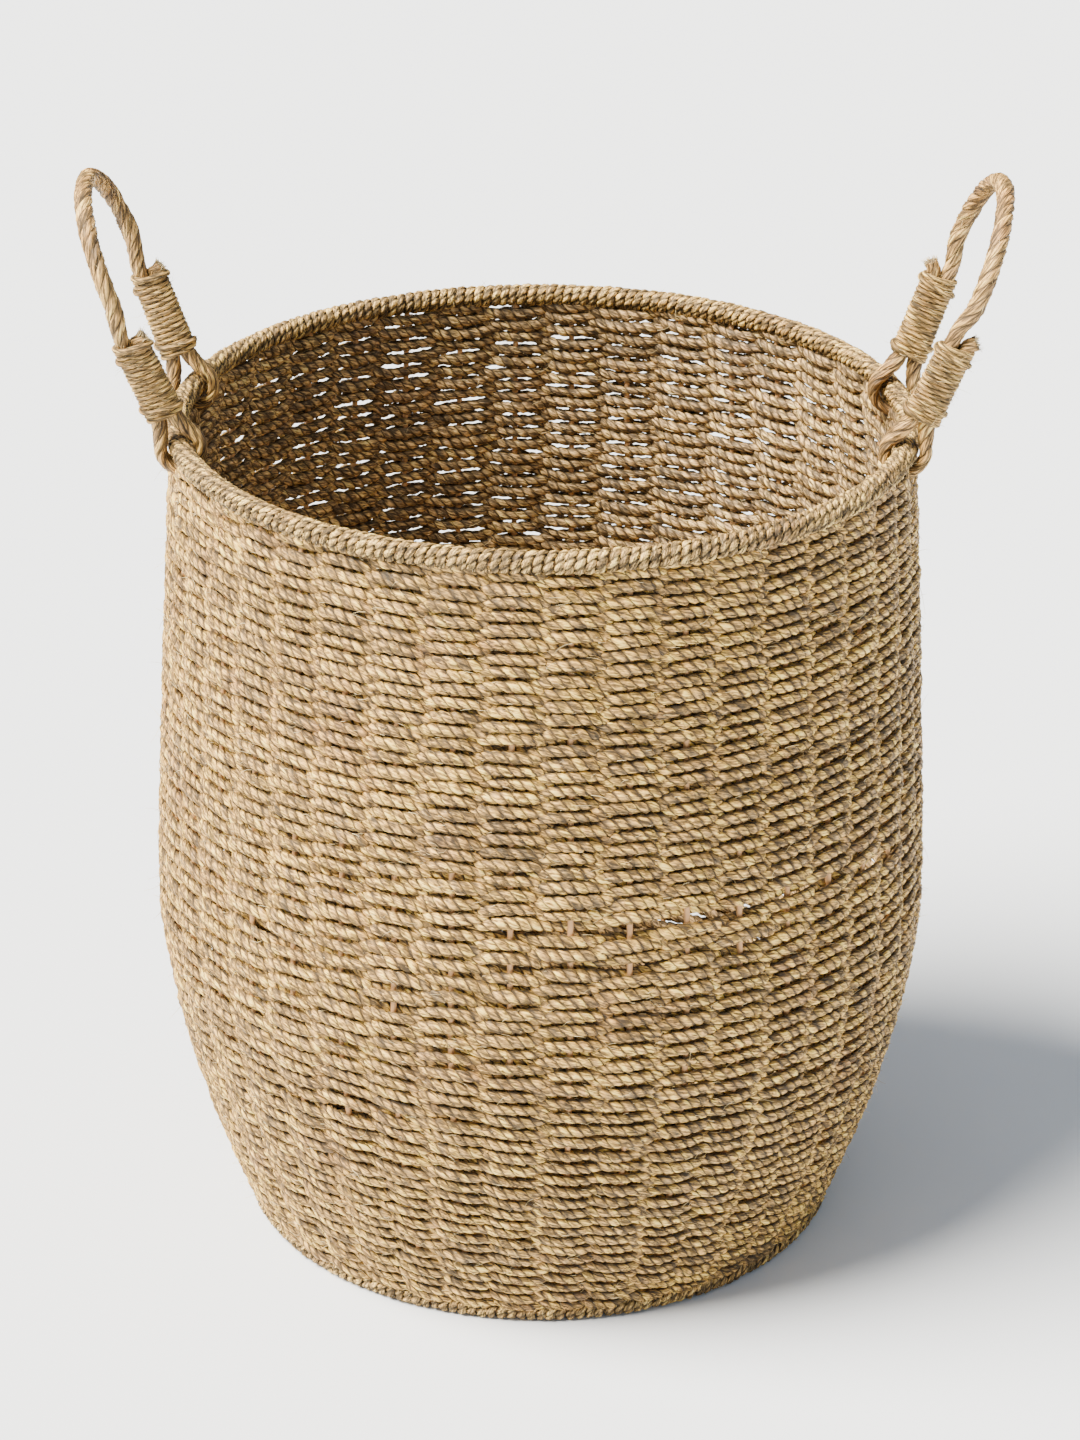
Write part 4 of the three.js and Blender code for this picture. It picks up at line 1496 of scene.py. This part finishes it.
        x = side.value * (rope_edge - tail_edge) / 2 + half_width * np.sign(cos) * np.abs(cos) ** power
        y = end * self.leg_place(z) + half_depth * np.sign(sin) * np.abs(sin) ** power
        out = np.stack([cos, sin, np.zeros_like(cos)], axis=1)
        return np.stack([x, y, z], axis=1), out

    def placed(self, points: Array, directions: Array) -> tuple[Array, Array]:
        """Leans points and directions outward, and takes them to the handle's side of the basket.

        Args:
            points: Rows of (x, y, z), as drawn upright.
            directions: Rows of directions in the same frame.

        Returns:
            Both in the basket's frame.
        """
        lean = math.radians(self.lean_deg)
        cos, sin = math.cos(lean), math.sin(lean)
        turn = np.array([[cos, 0.0, -sin], [0.0, 1.0, 0.0], [sin, 0.0, cos]])
        at = points @ turn + [self.hinge_x, 0.0, self.rim_height]
        way = directions @ turn
        if self.turned:
            half = np.array([-1.0, -1.0, 1.0])
            at, way = at * half, way * half
        return at, way

    def build(self) -> None:
        """Makes the rope and its two bindings."""
        rng = np.random.default_rng(self.seed)
        line, radius = self.rope_path()
        splayed = self.eye_splay * (1.0 - smooth(line[:, 2] / self.neck_height))
        ease = smooth(line[:, 2] / self.arch_start) * QUARTER_TURN
        outward = np.stack([np.sin(ease), np.cos(ease), np.zeros_like(ease)], axis=1)
        line, outward = self.placed(line, outward)
        thick = 1.0 + self.rope_thickness_change.along(rng, run_length(line))
        rope = Cord(
            line=line, outward=outward, radius=radius * thick * self.fullness, lay=self.rope_lay,
            flatten_out=1.0 + splayed, flatten_along=1.0 - splayed, lumps=self.rope_lumps,
            seed=self.seed, has_neighbours=False)
        mesh = Mesh()
        rope.add_to(mesh)
        piece = mesh.build(f"{self.name}_rope_loop", self.finishes.made[Slot.ROPE])
        settle(piece, self.name, [f"{self.name}_rope"])
        self.cords.append(rope)
        for end in (-1, 1):
            where = "front" if (end < 0) != self.turned else "back"
            side = self.front_side if where == "front" else self.back_side
            line, outward = self.placed(*self.binding_path(end, side))
            swells = np.linspace(0.0, self.binding_turns * self.swells_per_turn, len(line))
            thick = 1.0 + self.cord_thickness_change.along(rng, swells)
            cord = Cord(
                line=line, outward=outward, radius=self.binding_radius * thick, lay=self.cord_lay,
                lumps=self.cord_lumps, seed=self.seed + end)
            mesh = Mesh()
            cord.add_to(mesh)
            piece = mesh.build(f"{self.name}_bound_cord_{where}", self.finishes.made[Slot.BINDING])
            settle(piece, self.name, [f"{self.name}_binding_{where}"])
            self.cords.append(cord)


# Stray fibres


@dataclass
class LooseFibres:
    """Fibres that stand off the cords, each a thin bent thread of three sides."""

    finishes: Finishes
    floor_clearance: float = 0.5 * MM
    segments: int = 3
    sides: int = 3
    thinning: float = 0.67
    slowing: float = 0.3
    rise_power: float = 1.5
    hidden_below: float = -0.05
    spare_draws: int = 3
    shortest: float = 0.2
    length_power: float = 1.6
    least_rise: float = 0.1
    curl: float = 0.45
    tuft_rooted: float = 1.5 * MM
    tuft_inner: float = 0.3
    tuft_shortest: float = 0.25
    tuft_spread: float = 0.35
    tuft_rise: float = 0.25
    tuft_curl: float = 0.3
    seed: int = 41

    def scatter(self, name: str, body: str, cords: list[Cord], count: int, longest: float,
                thickness: float, lift: float) -> None:
        """Scatters fibres over the sides of some cords that can be seen.

        Each cord gets its share of them by its length. More places on its surface are drawn than needed,
        and those on a hidden side are left out. A random share raised to the length power makes most
        fibres short, and each runs along the cord one way or the other.

        Args:
            name: The piece's name.
            body: The CAD body that carries it.
            cords: The cords to scatter over.
            count: How many fibres in all.
            longest: Length of the longest fibre.
            thickness: Radius of a fibre at its root.
            lift: Most that a fibre rises, as a share of its length.
        """
        rng = np.random.default_rng(self.seed)
        lengths = np.array([cord.run[-1] for cord in cords])
        wanted = (count * lengths / lengths.sum()).astype(int)
        mesh = Mesh()
        for cord, share in zip(cords, wanted):
            ring = rng.integers(1, len(cord.run) - 1, share * self.spare_draws)
            corner = rng.integers(0, cord.rings.shape[1], share * self.spare_draws)
            root = cord.rings[ring, corner]
            up = unit(root - cord.line[ring])
            shown = np.broadcast_to(cord.shown_side, cord.run.shape)[ring]
            seen = np.sum(up * cord.outward[ring], axis=1) * shown > self.hidden_below
            ring, root, up = ring[seen][:share], root[seen][:share], up[seen][:share]
            found = len(ring)
            along = unit(cord.line[ring + 1] - cord.line[ring - 1]) * rng.choice([-1.0, 1.0], (found, 1))
            length = longest * rng.uniform(self.shortest, 1.0, found) ** self.length_power
            rise = lift * rng.uniform(self.least_rise, 1.0, found)
            curl = rng.normal(0.0, self.curl, found)
            self.add(mesh, root, along, up, length, rise, curl, thickness)
        settle(mesh.build(name, self.finishes.loose), body, [])

    def tufts(self, name: str, body: str, cords: list[Cord], count: int, longest: float,
              thickness: float) -> None:
        """Frays the two cut ends of each cord into a brush.

        Each fibre starts a little inside the end, between its middle and its edge, and runs ahead with a
        random lean.

        Args:
            name: The piece's name.
            body: The CAD body that carries it.
            cords: The cords, cut at both ends.
            count: Fibres at each end.
            longest: Length of the longest fibre.
            thickness: Radius of a fibre at its root.
        """
        rng = np.random.default_rng(self.seed + 1)
        mesh = Mesh()
        for cord in cords:
            for end, inner in ((0, 2), (-1, -3)):
                ahead = unit(cord.line[end] - cord.line[inner])
                corner = rng.integers(0, cord.rings.shape[1], count)
                off = cord.rings[end, corner] - cord.line[end]
                root = cord.line[end] + off * rng.uniform(self.tuft_inner, 1.0, (count, 1))
                up = unit(root - cord.line[end])
                along = unit(ahead + self.tuft_spread * rng.normal(size=(count, 3)))
                length = longest * rng.uniform(self.tuft_shortest, 1.0, count)
                rise = np.full(count, self.tuft_rise)
                curl = rng.normal(0.0, self.tuft_curl, count)
                self.add(mesh, root - along * self.tuft_rooted, along, up, length, rise, curl, thickness)
        settle(mesh.build(name, self.finishes.loose), body, [])

    def add(self, mesh: Mesh, root: Array, along: Array, up: Array, length: Array, rise: Array, curl: Array,
            thickness: float) -> None:
        """Adds fibres to a mesh.

        With t from 0 to 1, a fibre runs ahead by t - slowing t squared of its length, rises by its share
        times t to the rise power, swings sideways by its curl times t squared, and thins to a third.
        A fibre that would touch the floor is left out.

        Args:
            mesh: Where they go.
            root: Where each fibre starts.
            along: Its first direction.
            up: The direction it rises in.
            length: Its length.
            rise: Share of its length that it rises.
            curl: Share of its length that it swings.
            thickness: Its radius at the root.
        """
        side = unit(np.cross(up, along))
        t = np.linspace(0.0, 1.0, self.segments + 1)
        reach = length[:, None]
        path = root[:, None, :] + (reach * (t - self.slowing * t ** 2))[..., None] * along[:, None, :]
        path += (reach * rise[:, None] * t ** self.rise_power)[..., None] * up[:, None, :]
        path += (reach * curl[:, None] * t ** 2)[..., None] * side[:, None, :]
        corner = np.arange(self.sides) / self.sides * FULL_TURN
        spread = np.cos(corner)[:, None] * up[:, None, :] + np.sin(corner)[:, None] * side[:, None, :]
        radius = (thickness * (1.0 - self.thinning * t))[None, :, None, None]
        rings = path[:, :, None, :] + radius * spread[:, None, :, :]
        rings = rings[rings[..., 2].min(axis=(1, 2)) > self.floor_clearance]
        fibres, rows, around = rings.shape[:3]
        first = np.arange(fibres)[:, None] * rows * around
        i = first[:, :, None] + np.arange(rows - 1)[None, :, None] * around
        j = np.arange(around)[None, None, :]
        k = (j + 1) % around
        quads = np.stack([i + j, i + around + j, i + around + k, i + k], axis=-1).reshape(-1, 4)
        caps = np.concatenate([first + j[0], first + (rows - 1) * around + j[0, :, ::-1]])
        uv = np.zeros((len(quads), 4, 2))
        uv[..., 0] = np.repeat(np.arange(fibres) + 0.5, (rows - 1) * around)[:, None]
        mesh.add(rings.reshape(-1, 3), quads, uv, caps)


# Floor, light and camera


@dataclass
class Studio:
    """A pale floor, a bright even sky and one large soft light from the upper left."""

    floor_reach: float = 30.0
    floor_colour: str = "#DEE4F0"
    camera_place: tuple[float, float, float] = (0.0, -2.296, 1.3745)
    camera_target: tuple[float, float, float] = (-0.0009, 0.0, 0.2952)
    camera_roll: float = 0.0052
    lens_mm: float = 110.8
    sensor_mm: float = 36.0
    key_strength: float = 18.3
    key_colour: tuple[float, float, float] = (1.0, 0.925, 0.78)
    key_spread_deg: float = 36.0
    key_azimuth_deg: float = 198.0
    key_height_deg: float = 54.0
    sky_colour: tuple[float, float, float] = (0.87, 0.95, 1.0)
    sky_strength: float = 0.58

    def build(self) -> None:
        """Makes the floor, the lights and the camera."""
        reach = self.floor_reach
        mesh = bpy.data.meshes.new("floor")
        corners = [(-reach, -reach, 0.0), (reach, -reach, 0.0), (reach, reach, 0.0), (-reach, reach, 0.0)]
        mesh.from_pydata(corners, [], [(0, 1, 2, 3)])
        floor = bpy.data.objects.new("floor", mesh)
        bpy.context.scene.collection.objects.link(floor)
        paint = bpy.data.materials.new("pale_matt_floor")
        paint.use_nodes = True
        shader = paint.node_tree.nodes["Principled BSDF"]
        shader.inputs["Base Color"].default_value = linear(self.floor_colour)
        shader.inputs["Roughness"].default_value = 0.9
        shader.inputs["Specular IOR Level"].default_value = 0.1
        mesh.materials.append(paint)

        world = bpy.data.worlds.new("bright_room")
        world.use_nodes = True
        background = world.node_tree.nodes["Background"]
        background.inputs["Color"].default_value = (*self.sky_colour, 1.0)
        background.inputs["Strength"].default_value = self.sky_strength
        bpy.context.scene.world = world

        light = bpy.data.lights.new("key", "SUN")
        light.energy = self.key_strength
        light.color = self.key_colour
        light.angle = math.radians(self.key_spread_deg)
        lamp = bpy.data.objects.new("key", light)
        around, rise = math.radians(self.key_azimuth_deg), math.radians(self.key_height_deg)
        source = Vector(
            (math.cos(around) * math.cos(rise), math.sin(around) * math.cos(rise), math.sin(rise)))
        lamp.rotation_euler = (-source).to_track_quat("-Z", "Y").to_euler()
        bpy.context.scene.collection.objects.link(lamp)

        place, target = Vector(self.camera_place), Vector(self.camera_target)
        data = bpy.data.cameras.new("camera")
        data.lens = self.lens_mm
        data.sensor_width = self.sensor_mm
        camera = bpy.data.objects.new("camera", data)
        look = (target - place).to_track_quat("-Z", "Y").to_matrix().to_4x4()
        camera.matrix_world = Matrix.Translation(place) @ look @ Matrix.Rotation(self.camera_roll, 4, "Z")
        bpy.context.scene.collection.objects.link(camera)
        bpy.context.scene.camera = camera


def dress_hoops(finishes: Finishes) -> None:
    """Gives the two hidden hoops their cane.

    Args:
        finishes: The materials.
    """
    for node in ("rim_hoop", "foot_hoop"):
        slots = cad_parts[node].data.materials
        slots.clear()
        slots.append(finishes.made[Slot.CANE])


def main() -> None:
    """Builds the studio and every part of the basket."""
    Studio().build()
    finishes = Finishes()
    outline = WallOutline()
    stakes = StakeRing()
    right = RopeHandle("handle_right", False, Side.INSIDE, Side.OUTSIDE, finishes, stakes)
    left = RopeHandle(
        "handle_left", True, Side.OUTSIDE, Side.OUTSIDE, finishes, stakes, seed=4, tail_stub=1.5 * MM)
    eye = right.eye_angle
    wall = TwinedWall(outline, stakes, finishes)
    wall.build((eye, -eye, HALF_TURN - eye, HALF_TURN + eye))
    rim = WoundRoll(
        "rim_cord", "rim_wrap", finishes, ring_radius=RIM_RADIUS, height=RIM_HEIGHT, roll_radius=6.75 * MM,
        turns=234, cord_radius=2.85 * MM, seed=7)
    rim.build()
    foot = WoundRoll(
        "foot_cord", "foot_wrap", finishes, ring_radius=168.6 * MM, height=5.7 * MM, roll_radius=5.8 * MM,
        turns=193, cord_radius=2.8 * MM, seed=8, steps_per_turn=18, thinned=0.64, lowest=0.4 * MM)
    foot.build()
    Rods(outline, stakes, finishes).build()
    TwinedBase(finishes).build()
    right.build()
    left.build()
    fibres = LooseFibres(finishes)
    fibres.scatter(
        "wall_fuzz", "basket", wall.ropes, count=9500, longest=9 * MM, thickness=0.2 * MM,
        lift=0.16)
    fibres.scatter(
        "wall_whiskers", "basket", wall.ropes, count=4200, longest=14 * MM,
        thickness=0.17 * MM, lift=0.5)
    fibres.scatter(
        "roll_fuzz", "basket", [rim.cord, foot.cord], count=1800, longest=6 * MM,
        thickness=0.15 * MM, lift=0.25)
    for handle in (right, left):
        name = handle.name
        fibres.scatter(
            f"{name}_fuzz", name, handle.cords, count=900, longest=8 * MM,
            thickness=0.14 * MM, lift=0.25)
        fibres.scatter(
            f"{name}_whiskers", name, handle.cords, count=120, longest=11 * MM,
            thickness=0.12 * MM, lift=0.7)
        fibres.tufts(
            f"{name}_frayed_ends", name, handle.cords[:1], count=90, longest=5.5 * MM,
            thickness=0.28 * MM)
    dress_hoops(finishes)


if __name__ == "__main__":
    main()
